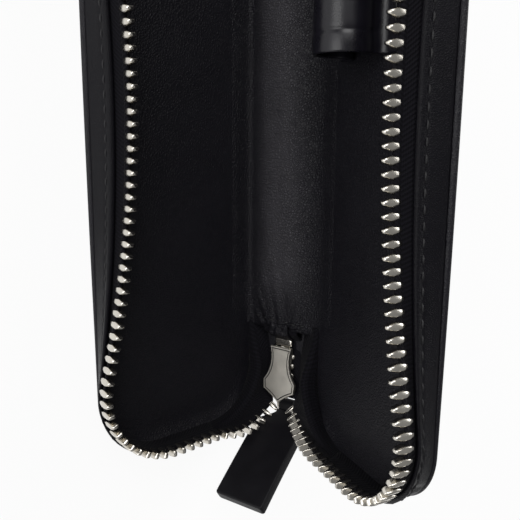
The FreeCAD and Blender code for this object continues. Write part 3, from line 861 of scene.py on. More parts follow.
def tooth_shape(half_long=TOOTH_HALF):
    """One tooth as points along the zip, across it and up to the other strand: bean-shaped outlines
    that are hollow on one side, stacked from the legs on the tape to a head slim enough to pass
    between the other strand's teeth."""
    turn = (np.arange(12) + 0.5) * math.pi / 6
    across = squared(np.cos(turn), 0.5)
    along = half_long * squared(np.sin(turn), 0.5) - 0.3 * (1 - across ** 2) + 0.15
    up = np.array([-1.5, -0.7, 0.6, 1.2, 1.8, 2.35])[:, None]
    long = np.array([0.5, 0.9, 1.0, 0.8, 0.58, 0.36])[:, None]
    wide = np.array([0.65, 0.85, 0.9, 0.9, 0.85, 0.62])[:, None]
    return tube_faces(np.stack(np.broadcast_arrays(along * long, across * wide, up), -1))


def strand_line(half):
    """Line of the tooth feet along a half's rim, from the lower lead to the top end."""
    end = 1 - math.acos(1 - (TOP_END_WIDTH + PITCH) / RIM_RADIUS) / math.pi
    u, along, _, _, _ = carried(STRAND_PATH, [TAPE_MID], [TAPE_TOP], 0.1, last=end)
    return PLACES[half].at(u, along, TAPE_TOP)[:, 0]


def strand_teeth(half, offset):
    """Teeth of a half, one pitch apart, with the last place left for the top stop."""
    places, run = paced(strand_line(half), PITCH, offset)
    up = np.broadcast_to(PLACES[half].axes[2], run.shape)
    across = np.cross(up, run)
    skin = Skin().repeat(*tooth_shape(), places[:-1], run[:-1], across[:-1], up[:-1])
    seat = Place(places[-1], run[-1], across[-1], up[-1])
    return skin, rounded_block(Skin(), seat, (0, 0, 0.6), (0.7, 1.35, 1.1))


def rounded_block(skin, place, centre, half, power=0.35):
    """Adds a block with rounded edges: powers of sine and cosine below 1 square off a ball."""
    polar = np.linspace(-QUARTER, QUARTER, 13)[1:-1, None]
    turn = full_turn(24)[None, :]
    ring = squared(np.cos(polar), power)
    x = centre[0] + half[0] * ring * squared(np.cos(turn), power)
    y = centre[1] + half[1] * ring * squared(np.sin(turn), power)
    z = centre[2] + half[2] * squared(np.sin(polar), power)
    return skin.add(place.at(x, y, z))


def lead_line(side, count):
    """Feet, directions and leans of a lead strand from the slider's mouth to the half's own strand,
    as a curve with given ends and end directions, lifted a little between them. The left one keeps
    to the bottom of its half, the right one is pulled straight."""
    slider, half = PLACES["slider"], PLACES[HALVES[side]]
    start = slider.at(side * (TAPE_HALF_GAP + 1.0), -SLIDER_LENGTH - 1.0, 0)
    end = half.at(RIM_RADIUS - 1.0, -HALF + TAPE_MID, TAPE_TOP)
    run_a = slider.turned(side * math.sin(LEAD_SPREAD), -math.cos(LEAD_SPREAD), 0)
    up_a = slider.turned(-side * math.cos(LEAD_SPREAD), -math.sin(LEAD_SPREAD), 0)
    slope, pull_a, pull_b = (0.0, 0.5, 0.6) if side > 0 else (END_SLOPE, 0.7, 1.9)
    run_b, up_b = unit(half.axes[0] + slope * ALONG), half.axes[2]
    reach = np.linalg.norm(end - start)
    t = np.linspace(0, 1, count)[:, None]
    keep = (1 - t) ** 2 * (1 + 2 * t)
    place = start * keep + end * (1 - keep)
    place = place + run_a * (pull_a * reach) * t * (1 - t) ** 2
    place = place - run_b * (pull_b * reach) * t * t * (1 - t)
    place = place + PLACES["spine"].axes[2] * LEAD_LIFT * (t * (1 - t)) ** 2
    run = unit(np.gradient(place, axis=0))
    lean = up_a * (1 - t) + up_b * t
    lean = unit(lean - run * np.sum(lean * run, axis=1, keepdims=True))
    return place, run, lean


def leg_slope(along):
    """Share by which a wall's leg is lowered towards its end under the spine lining."""
    return 0.6 * (1 - smooth(HALF - LEG_END + 0.5, 71.0, np.abs(along)))


def lead_tape(side):
    """Loose tape of a lead: lines drawn from an inner edge over the top of the half's wall to its
    foot, sagging a little. The inner edge runs down beside the slider and on along the tooth feet,
    the outer edge follows the inside of the wall from its leg round the corner and ends inside the
    half's tape. Both edges have the same number of rows."""
    half, slider = PLACES[HALVES[side]], PLACES["slider"]
    place, _, lean = lead_line(side, 40)
    down = np.linspace(6.0, -SLIDER_LENGTH - 0.6, 30)
    clear = TAPE_HALF_GAP + 1.3 + 1.6 * smooth(down[-1], down[-1] + 4.0, down)
    beside = slider.at(side * clear, down, -0.3)
    beyond = strand_line(HALVES[side])[20] - 0.6 * half.axes[2]
    inner = np.concatenate([beside, place[1:], beyond[None]])
    lean = np.concatenate([np.repeat(lean[:1], len(down), axis=0), lean[1:], lean[-1:]])
    leg = np.linspace(0, 1, 12)
    bend = np.concatenate([np.linspace(0.03, 0.5, 18), np.linspace(0.5, 1, 40)[1:], [1.0]])
    past = np.concatenate([np.zeros(len(inner) - 1), [2.0]])
    rise = np.concatenate([3.0 * (1 - leg), np.zeros(len(bend))])

    def on_wall(n, inset):
        """Points inside the wall at a height, lowered along its leg."""
        runs = (("low_leg", leg), ("low_spine", bend))
        parts = [outline(stretch, t, level(n), inset) for stretch, t in runs]
        u, along = np.concatenate(parts, 1)[:2]
        return half.at(u + past, along + rise, n * (1 - leg_slope(along)))

    v = np.linspace(0, 1, 12)[None, :, None]
    edge, foot = on_wall(6.2, 1.0)[:, None, :], on_wall(1.7, WEB_INSET)[:, None, :]
    inside = on_wall(5.6, WEB_INSET)[:, None, :]
    free = inner[:, None, :] * (1 - v) + edge * v - lean[:, None, :] * (v * (1 - v))
    sewn = inside + (foot - inside) * np.linspace(0, 1, 5)[None, :, None]
    grid = np.concatenate([free, sewn], 1)
    across = np.linspace(TAPE_TOP, TAPE_FOOT, grid.shape[1])
    return tape_strip(Skin(), grid, 0.45, walked(inner), across)


def tape_strip(skin, grid, thick, along, across):
    """Adds a strip of tape with rounded borders, whose surface map holds the distances along the
    tape and across it."""
    uv = np.stack(np.meshgrid(along, across, indexing="ij"), -1)
    shape = thickened(grid, thick * edge_taper(*grid.shape[:2]))
    return skin.add(shape, uv=np.concatenate([uv, uv[:, ::-1]], 1))


def lead_teeth(side):
    """Teeth of a lead, slimmer than the half's and evenly spaced up to the half's first tooth."""
    place, _, lean = lead_line(side, 400)
    strand = strand_line(HALVES[side])[:40]
    place = np.concatenate([place, strand])
    lean = np.concatenate([lean, np.repeat(lean[-1:], len(strand), axis=0)])
    length = walked(place)[-1] - walked(strand)[-1] + TOOTH_OFFSETS[side] - LEAD_START
    count = round(length / LEAD_PITCH)
    places, run = paced(place, length / count, LEAD_START)
    places, run = places[:count], run[:count]
    nearest = np.argmin(np.linalg.norm(places[:, None, :] - place[None, :, :], axis=-1), axis=1)
    up = lean[nearest]
    return Skin().repeat(*tooth_shape(LEAD_TOOTH_HALF), places, run, np.cross(up, run), up)


def spine_height(x, y):
    """Height of the padded spine over its leather: a crown across, pinched at the stitched ends,
    with long soft rolls and wrinkles that fan out from the lower end."""
    bulge = looks().spine_bulge / MM
    end = HALF - SPINE_LINING_END
    crown = (1 - (x / 9.0) ** 2).clip(0) ** 0.7
    pinch = 0.45 + 0.55 * smooth(0, 14, end - np.abs(y))
    fan = np.arctan2(x + 0.8, y + end + 9)
    near = np.exp(-((y + end) / 17.0) ** 2)
    creases = np.sin(19 * fan + 1.3 * np.sin(0.35 * y)) + 0.7 * np.sin(33 * fan + 0.25 * y)
    rolls = 0.10 * np.sin(0.16 * y + 0.5 * x) * np.sin(0.11 * y + 1.0)
    rolls = rolls + 0.06 * np.sin(0.9 * x + 0.05 * y)
    return crown * (0.45 + bulge * pinch + 0.24 * near * creases + rolls)


def spine_pad():
    """Soft lining of the spine: its upper face is the padded height, its lower face is flat."""
    end = HALF - SPINE_LINING_END
    x = np.sin(np.linspace(-QUARTER, QUARTER, 61)) * 8.9
    y = np.linspace(-end - 0.6, end + 0.6, 240)[:, None]
    top = PAD_SEAT + spine_height(x[None, :], y) * smooth(0, 0.7, end + 0.62 - np.abs(y))
    low = np.full_like(top, PAD_FOOT)
    around = np.concatenate([x, x[::-1]])
    return Skin().add(PLACES["spine"].at(around, y, np.concatenate([top, low], 1)))


def spine_back():
    """Outer leather of the spine: a softly crowned strip with rounded ends and rolled edges, and a
    thin tail at each corner behind the wall's leg."""
    end = HALF - SPINE_END
    turn = full_turn(64)
    across, over = squared(np.cos(turn), 0.3), squared(np.sin(turn), 0.5)
    rows = np.concatenate([[-end, -end + 0.15, -end + 0.6], np.linspace(-end + 1.5, end - 1.5, 60),
                           [end - 0.6, end - 0.15, end]])[:, None]
    narrow = 1 - 0.14 * (1 - smooth(0, 1.6, end - np.abs(rows)))
    thin = 0.45 + 0.55 * smooth(0, 0.7, end - np.abs(rows))
    z = 0.05 - 1.42 * over * thin * np.where(over > 0, 1, 0.98)
    skin = Skin().add(PLACES["spine"].at(SPINE_HALF * across * narrow, rows, z))
    for x in (-1, 1):
        for y, reach in ((-1, 4.6), (1, 2.6)):
            centre = (x * 6.4, y * (end - 2.4 + reach), -0.9)
            rounded_block(skin, PLACES["spine"], centre, (3.3, reach, 0.35), 0.25)
    return skin


def fold_back(side):
    """Outer leather over a fold: flat under the cover, round the hinge axis, flat under the
    spine."""
    half, spine = PLACES[HALVES[side]], PLACES["spine"]
    radius = 1.2
    from_half, to_spine = -half.axes[2], -spine.axes[2]
    sweep = math.acos(float(np.dot(from_half, to_spine)))
    t = np.linspace(0, 1, 17)[:, None]
    arc = (np.sin((1 - t) * sweep) * from_half + np.sin(t * sweep) * to_spine) / math.sin(sweep)
    tail = np.linspace(4.0, 0.4, 8)[:, None]
    run = -side * spine.axes[0]
    dip = 0.35 * smooth(0.5, 2.6, tail[::-1])
    line = np.concatenate([half.axes[0] * tail + from_half * radius, arc * radius,
                           run * tail[::-1] + to_spine * (radius - dip)])
    end = HALF - SPINE_END + 0.5
    y = np.linspace(-end, end, 90)
    wave = 1 + 0.02 * np.sin(0.7 * y) * np.sin(0.23 * y + 1)
    grid = half.origin + line[None, :, :] * wave[:, None, None] + ALONG * y[:, None, None]
    return Skin().add(thickened(grid, 0.7 * edge_taper(*grid.shape[:2])))


def fold_inside(side):
    """Inner leather over a fold: the lining's face and the padded spine's face joined in one line,
    which is averaged with its neighbours many times to round the crease, and sunk a little at both
    edges and both ends."""
    half, spine = PLACES[HALVES[side]], PLACES["spine"]
    reach = HALF - SPINE_LINING_END + 0.9
    y = np.linspace(-reach, reach, 160)[:, None]
    u = np.linspace(10.0, 1.6, 30)[None, :]
    x = side * np.linspace(HALF_DEPTH - 1.6, 3.6, 22)[None, :]
    on_half = half.at(u, y, LINING_TOP)
    on_spine = spine.at(x, y, PAD_SEAT + spine_height(x, y))
    grid = np.concatenate([on_half, on_spine], 1)
    for _ in range(40):
        grid[:, 1:-1] = (grid[:, :-2] + 2 * grid[:, 1:-1] + grid[:, 2:]) / 4
    v = np.linspace(0, 1, grid.shape[1])
    sink = 0.34 * (1 - smooth(0, 0.3, np.minimum(v, 1 - v)))
    share = smooth(0.4, 0.7, v)[:, None]
    normal = half.axes[2] * (1 - share) + spine.axes[2] * share
    sink = sink + 0.4 * smooth(reach - 6.0, reach, np.abs(y))
    grid = grid - sink[..., None] * normal
    return Skin().add(thickened(grid, np.full(grid.shape[:2], 0.3)))


def tail_line():
    """Middle of the zip's tails: flat under the spine lining, down the ramp and along the
    slider."""
    spine, slider = PLACES["spine"], PLACES["slider"]
    corners = np.stack([
        spine.at(0, -HALF + SPINE_LINING_END + 1.0, TAIL_Z),
        spine.at(0, -HALF + TAIL_END, TAIL_Z),
        spine.at(0, -HALF + TAIL_END - TAIL_RAMP, CHAIN_Z),
        slider.at(0, 0, 0),
        slider.at(0, -SLIDER_LENGTH + 1.0, 0),
    ])
    line, _ = paced(corners, TAIL_STEP)
    ease = np.array([1.0, 2.0, 3.0, 2.0, 1.0]) / 9
    padded = np.concatenate([line[:2], line, line[-2:]])
    return np.stack([np.convolve(padded[:, k], ease, "valid") for k in range(3)], -1)


def end_tape():
    """Two tape tails that carry the closed end of the zip, from the spine lining down past the
    slider."""
    across = PLACES["spine"].axes[0]
    middle = tail_line()
    skin = Skin()
    for side in (-1, 1):
        x = np.linspace(TAPE_HALF_GAP - 0.3, 5.0, 10) * side
        grid = middle[:, None, :] + across * x[None, :, None]
        tape_strip(skin, grid, 0.6, np.arange(len(middle)) * TAIL_STEP, np.abs(x))
    return skin


def end_teeth():
    """Closed teeth in the upper half of the slider, set half a pitch apart from either side."""
    slider = PLACES["slider"]
    count = int(SLIDER_LENGTH / 2 / PITCH) * 2
    index = np.arange(count)
    side = np.where(index % 2, 1.0, -1.0)
    places = slider.at(side * TAPE_HALF_GAP, -PITCH / 2 * (index + 1), 0)
    run = np.broadcast_to(slider.axes[1], places.shape)
    up = -side[:, None] * slider.axes[0]
    return Skin().repeat(*tooth_shape(), places, run, np.cross(up, run), up)


def tongue_shell():
    """Small leather tongue over the zip's end: a crumpled pad that follows the tails down their
    ramp."""
    spine = PLACES["spine"]
    line = tail_line()[:26]
    half_width = 2.7
    x = np.linspace(-half_width, half_width, 34)[None, :]
    t = np.linspace(0, 1, len(line))[:, None]
    crumple = 0.16 * np.sin(3.1 * x + 6 * t) + 0.14 * np.sin(1.7 * x - 13 * t)
    crown = 0.5 * (1 - (x / half_width) ** 2) * np.sin(math.pi * (0.15 + 0.8 * t))
    height = 0.75 + crumple + crown
    grid = line[:, None, :] + x[..., None] * spine.axes[0] + height[..., None] * spine.axes[2]
    return Skin().add(thickened(grid, 0.8 * edge_taper(*grid.shape[:2], 0.3)))


def arc_points(first, middle, last, count):
    """Points on the circle through three points, without the last one."""
    (ax, ay), (bx, by), (cx, cy) = first, middle, last
    d = 2 * (ax * (by - cy) + bx * (cy - ay) + cx * (ay - by))
    a2, b2, c2 = ax * ax + ay * ay, bx * bx + by * by, cx * cx + cy * cy
    ox = (a2 * (by - cy) + b2 * (cy - ay) + c2 * (ay - by)) / d
    oy = (a2 * (cx - bx) + b2 * (ax - cx) + c2 * (bx - ax)) / d
    start = math.atan2(ay - oy, ax - ox)
    sweep = (math.atan2(cy - oy, cx - ox) - start + math.pi) % (2 * math.pi) - math.pi
    angle = start + sweep * np.linspace(0, 1, count, endpoint=False)
    radius = math.hypot(ax - ox, ay - oy)
    return np.stack([ox + radius * np.cos(angle), oy + radius * np.sin(angle)], -1)


def shield(margin):
    """Outline of the slider's plate within a margin: flat top, waist, shoulders, two corners and a
    pointed mouth with hollow edges."""
    top = (SLIDER_TOP_HALF - margin, -margin)
    waist = (SLIDER_TOP_HALF - margin - 0.5, -3.75)
    shoulder = (SLIDER_HALF - margin, -9.4)
    corner = (SLIDER_HALF - margin - 0.2, -11.8 + 0.5 * margin)
    tip = (0.0, -SLIDER_LENGTH + 1.4 * margin)
    hollow = (corner[0] / 2, (corner[1] + tip[1]) / 2 + 0.25)
    flat = np.stack([np.linspace(0, top[0], 5, endpoint=False), np.full(5, -margin)], -1)
    side = np.linspace(shoulder, corner, 5, endpoint=False)
    right = np.concatenate([flat, arc_points(top, waist, shoulder, 16), side,
                            arc_points(corner, hollow, tip, 12)])
    left = (right[1:] * (-1, 1))[::-1]
    return np.concatenate([right, [tip], left])


def shield_rings(heights):
    """Outlines of the slider's plate at a list of margins and heights."""
    rings = []
    for margin, z in heights:
        ring = shield(margin)
        rings.append(PLACES["slider"].at(ring[:, 0], ring[:, 1], z))
    return np.stack(rings)


def slider_shell():
    """Cast slider: inner plate with a raised border and a groove inside it, plain outer plate, post
    and the four flanges that hold the tapes."""
    low, high = PLATE_GAP, PLATE_GAP + PLATE_THICK
    inner = [(0.2, low), (0.0, low + 0.15), (0.0, high - 0.14), (0.1, high), (0.42, high),
             (0.46, high - 0.32), (0.66, high - 0.32), (0.7, high), (1.2, high)]
    outer = [(0.25, -low), (0.0, -low - 0.15), (0.0, -high + 0.35), (0.1, -high + 0.1),
             (0.35, -high), (1.2, -high - 0.08)]
    skin = Skin().add(shield_rings(inner)).add(shield_rings(outer))
    slider = PLACES["slider"]
    rounded_block(skin, slider, (0, -10.65, 0), (1.1, 2.2, PLATE_GAP + 0.2), 0.6)
    for side in (-1, 1):
        for face in (-1, 1):
            rounded_block(skin, slider, (side * 2.4, -2.4, face * 1.2), (0.32, 2.4, 0.42), 0.3)
    return skin


def groove_painted_shade():
    """Painted shade in the groove of the slider's face: a dark flat ring along the shield's
    outline.
    """
    high = PLATE_GAP + PLATE_THICK
    corners = [(0.45, high - 0.34), (0.67, high - 0.34), (0.67, high - 0.1), (0.45, high - 0.1)]
    return Skin().add(shield_rings(corners), wrap=(True, True), caps=None)


def crown_shell():
    """Arched bridge on the outer plate: a strap with rounded edges bent along a squared half
    round."""
    t = np.linspace(0, math.pi, 41)
    arch_y = -SLIDER_LENGTH / 2 + (CROWN_LENGTH / 2 - 0.5) * squared(np.cos(t), 0.6)
    arch_z = -PLATE_GAP - PLATE_THICK + 0.2 - CROWN_RISE * np.sin(t) ** 0.6
    x = np.linspace(-CROWN_WIDTH / 2, CROWN_WIDTH / 2, 9)
    taper = 1 - 0.55 * np.abs(x / x[-1]) ** 4
    grid = PLACES["slider"].at(x[None, :], arch_y[:, None], arch_z[:, None])
    return Skin().add(thickened(grid, 0.95 * np.broadcast_to(taper, grid.shape[:2])))


def link_shell():
    """Wire link: a round wire carried round a rectangle with rounded corners."""
    slider = PLACES["slider"]
    y0, z0 = np.array([slider.axes[1], slider.axes[2]]) @ (pivot("link_swing") - slider.origin)
    bend = 1.1
    half_x, half_y = LINK_HALF - bend, LINK_LENGTH / 2 - bend
    turn = np.concatenate([np.linspace(0, QUARTER, 9) + k * QUARTER for k in range(4)])
    out = np.stack([np.cos(turn), np.sin(turn)], -1)
    corners = np.repeat([(1, 1), (-1, 1), (-1, -1), (1, -1)], 9, axis=0)
    path = corners * (half_x, half_y) + bend * out
    around = full_turn(12)
    x = path[:, 0, None] + LINK_RADIUS * np.cos(around) * out[:, 0, None]
    y = y0 - LINK_LENGTH / 2 + path[:, 1, None] + LINK_RADIUS * np.cos(around) * out[:, 1, None]
    z = z0 + LINK_RADIUS * np.sin(around)
    return Skin().add(slider.at(x, y, z), wrap=(True, True), caps=None)


def tab_shell():
    """Pull tab: a rounded slab whose half width grows from the neck to the square end, and a slack
    sleeve round the link's bar."""
    tab = PLACES["tab"]
    tip, edge = 0.7, 0.5
    y = np.concatenate([np.linspace(0.9, 7.0, 26), np.linspace(7.5, TAB_LENGTH - 0.8, 34),
                        TAB_LENGTH - tip + tip * np.sin(np.linspace(0, QUARTER, 12))])[:, None]
    last = ((y - (TAB_LENGTH - tip)) / tip).clip(0, 1)
    rounded = 1 - np.sqrt((1 - last ** 2).clip(0))
    wide = TAB_NECK + (TAB_HALF - TAB_NECK) * smooth(1.2, 6.0, y) - 0.6 * rounded
    thick = TAB_THICK / 2 - 0.3 * rounded
    turn = full_turn(56)[None, :]
    cos, sin = np.cos(turn), np.sin(turn)
    corner_x = np.sign(cos) * (wide - edge) + edge * squared(cos, 0.8)
    corner_z = np.sign(sin) * (thick - edge) + edge * squared(sin, 0.8)
    bend = 0.5 * ((y - 8) / 20).clip(0) ** 2
    skin = Skin().add(tab.at(corner_x, y, corner_z + bend))
    around, ring = full_turn(40)[:, None], full_turn(20)[None, :]
    width = squared(np.cos(ring), 0.4) * TAB_NECK
    grow = 0.34 * squared(np.sin(ring), 0.6)
    slack = Place(tab.origin, tab.axes[0], PLACES["slider"].axes[1], PLACES["slider"].axes[2])
    sleeve = slack.at(width, 1.0 + (2.1 + grow) * np.cos(around), (1.13 + grow) * np.sin(around))
    return skin.add(sleeve, wrap=(True, True), caps=None)


def loop_line():
    """Middle of the loop's leather across the right half, as place and height over the lining: flat
    wing, a hollow fillet, round over the room inside, and the same back down."""
    fillet, low = 2.5, LOOP_WALL / 2
    high = LOOP_RADIUS + low
    rise = high - low - fillet
    aside = math.sqrt((LOOP_RADIUS + fillet) ** 2 - rise ** 2)
    lean = math.atan2(rise, aside)
    wing = np.stack([np.linspace(-LOOP_WING, -aside, 8, endpoint=False), np.full(8, low)], -1)
    turn = np.linspace(-QUARTER, lean, 12, endpoint=False)
    hollow = np.stack([-aside + fillet * np.cos(turn), low + fillet + fillet * np.sin(turn)], -1)
    over = np.linspace(math.pi + lean, QUARTER, 30)
    dome = np.stack([LOOP_RADIUS * np.cos(over), high + LOOP_RADIUS * np.sin(over)], -1)
    first = np.concatenate([wing, hollow, dome])
    return np.concatenate([first, (first[:-1] * (-1, 1))[::-1]])


def loop_shell():
    """Pen loop: its line carried along the case, with a hem pressed in near each end."""
    half = PLACES["right_half"]
    line = loop_line()
    start = -HALF + LOOP_START
    run = np.concatenate([[0, 0.12, 0.4, 0.8], np.linspace(1.2, LOOP_LENGTH - 1.2, 80),
                          LOOP_LENGTH - np.array([0.8, 0.4, 0.12, 0])])
    near = np.minimum(run, LOOP_LENGTH - run)
    press = -0.22 * np.exp(-((near - 4.2) / 0.35) ** 2)
    press = press + 0.12 * np.exp(-((near - 1.8) / 1.4) ** 2)
    centre = np.array([0.0, LOOP_RADIUS + LOOP_WALL / 2])
    out = unit(line - centre)
    lifted = smooth(1.0, 3.0, line[:, 1])
    moved = line[None] + out[None] * (press[:, None] * lifted[None, :])[..., None]
    seat = LINING_TOP + 0.05
    grid = half.at(LOOP_PLACE + moved[..., 0], start + run[:, None], seat + moved[..., 1])
    return Skin().add(thickened(grid, LOOP_WALL * edge_taper(*grid.shape[:2], 0.5)))


def stitch_shape(length, radius=0.24):
    """One stitch: a short thread, thickest in the middle, dipping at both ends."""
    t = np.linspace(-1, 1, 6)[:, None]
    around = full_turn(7)[None, :]
    thick = radius * np.sqrt(1 - t ** 2 * 0.85)
    across, over = thick * np.cos(around), thick * np.sin(around) - 0.18 * t ** 2
    return tube_faces(np.stack(np.broadcast_arrays(length / 2 * t, across, over), -1))


def wall_stitches(half):
    """Stitches round a half's wall, below its folded edge."""
    set_up = looks()
    u, along, _, _, _ = carried(WALL_PATH[1:-1], [0.1], [STITCH_HEIGHT], 0.3)
    line = PLACES[half].at(u[:, 0], along[:, 0], STITCH_HEIGHT)
    places, ahead = paced(line, set_up.stitch_pitch / MM, 1.0)
    rise = np.broadcast_to(PLACES[half].axes[2], ahead.shape)
    out = np.cross(rise, ahead) if half == "left_half" else np.cross(ahead, rise)
    stitch = stitch_shape(set_up.stitch_length / MM)
    return Skin().repeat(*stitch, places, ahead, np.cross(out, ahead), out)


def row_stitches(skin, line, up):
    """Adds stitches along one line, on the side that up points to, finer than those of the wall."""
    set_up = looks()
    finer = 0.8
    places, ahead = paced(line, set_up.stitch_pitch / MM * finer, 0.8)
    out = np.broadcast_to(up, ahead.shape)
    stitch = stitch_shape(set_up.stitch_length / MM * finer)
    skin.repeat(*stitch, places, ahead, np.cross(out, ahead), out)


def spine_stitches():
    """Slanting rows of stitches across both ends of the spine's lining."""
    spine = PLACES["spine"]
    skin = Skin()
    x = np.linspace(-7.6, 7.6, 60)
    for end in (-1, 1):
        y = end * (HALF - SPINE_LINING_END - 1.6) - 0.06 * x
        z = 1.75 + spine_height(x, y)
        row_stitches(skin, spine.at(x, y, z), spine.axes[2])
    return skin


def loop_stitches():
    """Rows of stitches along both wings of the pen loop."""
    half = PLACES["right_half"]
    skin = Skin()
    start = -HALF + LOOP_START
    y = np.linspace(start + 0.6, start + LOOP_LENGTH - 0.6, 60)
    for side in (-1, 1):
        line = half.at(LOOP_PLACE + side * (LOOP_WING - 1.6), y, LINING_TOP + 1.1)
        row_stitches(skin, line, half.axes[2])
    return skin


def dress_node(node, name):
    """Gives a node of the frame a finish."""
    piece = frame["nodes"][node]
    piece.data.materials.clear()
    piece.data.materials.append(finish(name))


class PENCASE_OT_covers(bpy.types.Operator):
    """Make the two cover panels"""

    bl_idname = "pen_case.covers"
    bl_label = "Covers"

    def execute(self, context):
        for name in SIDES:
            half = name + "_half"
            cover_shell(half).piece(name + "_cover_leather", finish("cover leather"), half,
                                    [name + "_cover"], "cover_leather")
        return {"FINISHED"}


class PENCASE_OT_linings(bpy.types.Operator):
    """Make the two linings and finish the boards under them"""

    bl_idname = "pen_case.linings"
    bl_label = "Linings"

    def execute(self, context):
        for name in SIDES:
            half = name + "_half"
            lining_shell(half).piece(name + "_lining_leather", finish("lining leather"), half,
                                     [name + "_lining"], "lining_leather")
            dress_node(name + "_board", "board")
        return {"FINISHED"}


class PENCASE_OT_walls(bpy.types.Operator):
    """Make the leather walls and their stitches"""

    bl_idname = "pen_case.walls"
    bl_label = "Walls"

    def execute(self, context):
        for name in SIDES:
            half = name + "_half"
            wall_shell(half).piece(name + "_wall_leather", finish("wall leather"), half,
                                   [name + "_wall"], "cover_leather")
            wall_stitches(half).piece(name + "_wall_stitches", finish("thread"), half)
        return {"FINISHED"}


class PENCASE_OT_zip(bpy.types.Operator):
    """Make the zip tapes, the teeth and the top stops"""

    bl_idname = "pen_case.zip"
    bl_label = "Zip"

    def execute(self, context):
        for name, side in SIDES.items():
            half = name + "_half"
            tape_shell(half).piece(name + "_zip_tape", finish("zip tape"), half,
                                   [name + "_tape"], "zip_tape")
            metal = finish("tooth metal")
            teeth, stop = strand_teeth(half, TOOTH_OFFSETS[side])
            teeth.piece(name + "_zip_teeth", metal, half, [name + "_teeth"], "zip_metal")
            stop.piece(name + "_zip_stop", metal, half, [name + "_top_stop"], "zip_metal")
        return {"FINISHED"}


class PENCASE_OT_leads(bpy.types.Operator):
    """Make the loose leads between the slider and the halves"""

    bl_idname = "pen_case.leads"
    bl_label = "Zip leads"

    def execute(self, context):
        for name, side in SIDES.items():
            # A point beside the slider and one on the inside of the wall, across the tape from it
            start = PLACES["slider"].at(side * 5.2, -8.0, -0.3)
            end = PLACES[name + "_half"].at(WEB_INSET, 0, 5.0) * (1, 0, 1) + start * (0, 1, 0)
            for kind, skin, look, slot in (("tape", lead_tape(side), "zip tape", "zip_tape"),
                                           ("teeth", lead_teeth(side), "tooth metal", "zip_metal")):
                piece = skin.piece(name + "_lead_" + kind + "_piece", finish(look), None,
                                   [name + "_lead_" + kind], slot)
                tuple(start * MM)
                tuple(end * MM)
                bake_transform(piece)
        return {"FINISHED"}


class PENCASE_OT_spine(bpy.types.Operator):
    """Make the padded spine, its outer leather and the zip's closed end"""

    bl_idname = "pen_case.spine"
    bl_label = "Spine"

    def execute(self, context):
        lining, metal = finish("spine leather"), finish("tooth metal")
        pad = spine_pad().piece("spine_pad", lining, "spine", ["spine_lining"], "lining_leather")
        spine_back().piece("spine_leather", finish("cover leather"), "spine",
                           ["spine_cover"], "cover_leather")
        spine_stitches().piece("spine_stitches", finish("thread"), "spine")
        end_tape().piece("zip_end_strips", finish("zip tape"), "spine",
                         ["zip_end_tape"], "zip_tape")
        end_teeth().piece("zip_end_row", metal, "spine", ["zip_end_teeth"], "zip_metal")
        tongue_shell().piece("spine_tongue", lining, "spine", ["end_tongue"], "lining_leather")
        centre = (0, -HALF + SLIDER_TOP + 1.3, CHAIN_Z + 0.9)
        stop = rounded_block(Skin(), PLACES["spine"], centre, (2.6, 1.0, 0.55), 0.3)
        stop.piece("zip_bottom_stop", metal, "spine", ["bottom_stop"], "zip_metal")
        return {"FINISHED"}


class PENCASE_OT_folds(bpy.types.Operator):
    """Make the leather that bends over the two folds"""

    bl_idname = "pen_case.folds"
    bl_label = "Folds"

    def execute(self, context):
        for name, side in SIDES.items():
            half, spine = PLACES[name + "_half"], PLACES["spine"]
            start = half.at(FOLD_REACH, 0.0, 0.0) * MM
            back = fold_back(side).piece(name + "_fold_back", finish("cover leather"), None,
                                         [name + "_fold"], "cover_leather")
            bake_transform(back)
            inside = fold_inside(side).piece(name + "_fold_inside", finish("spine leather"), None)
            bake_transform(inside)
        return {"FINISHED"}


class PENCASE_OT_slider(bpy.types.Operator):
    """Make the slider, its bridge, the link and the pull tab"""

    bl_idname = "pen_case.slider"
    bl_label = "Slider and pull"

    def execute(self, context):
        metal = finish("slider metal")
        slider_shell().piece("slider_casting", metal, "slider", ["slider_body"], "slider_metal",
                             crisp=math.radians(30))
        # Dark ring in the slider's groove, painted shade.
        groove_painted_shade().piece("slider_groove_painted_shade", finish("thread"), "slider")
        crown_shell().piece("slider_bridge", metal, "slider", ["slider_crown"], "slider_metal")
        link_shell().piece("pull_wire", metal, "link", ["pull_link"], "slider_metal")
        tab_shell().piece("pull_tab", finish("tab leather"), "tab",
                          ["tab_leather", "tab_core"], "tab_leather")
        return {"FINISHED"}


class PENCASE_OT_loop(bpy.types.Operator):
    """Make the pen loop and its stitches"""

    bl_idname = "pen_case.loop"
    bl_label = "Pen loop"

    def execute(self, context):
        loop_shell().piece("pen_loop_leather", finish("loop leather"), "right_half",
                           ["pen_loop"], "lining_leather")
        loop_stitches().piece("pen_loop_stitches", finish("thread"), "right_half")
        return {"FINISHED"}


def floor_finish():
    """White floor that keeps a faint shadow: mostly plain white to the camera and to
    reflections."""
    look = Finish("floor")
    path = look.node("ShaderNodeLightPath")
    camera, gloss = path.value("Is Camera Ray"), path.value("Is Glossy Ray")
    seen = (camera + gloss + path.value("Is Transmission Ray")).least(1.0)
    paper = look.node("ShaderNodeBsdfDiffuse", None, {"Color": (0.9, 0.9, 0.9, 1.0)})
    glow = look.node("ShaderNodeEmission", None, {"Color": WHITE, "Strength": 1.0})
    sockets = {0: seen * FLOOR_GLOW, 1: paper.value("BSDF"), 2: glow.value("Emission")}
    mixed = look.node("ShaderNodeMixShader", None, sockets)
    look.node("ShaderNodeOutputMaterial", None, {"Surface": mixed.value("Shader")})
    return look.material


def standing(place, right, up, back):
    """Matrix that puts a lamp or a camera at a place, turned to three directions."""
    turn = Matrix(np.stack([right, up, back], 1).tolist())
    return Matrix.Translation(place) @ turn.to_4x4()


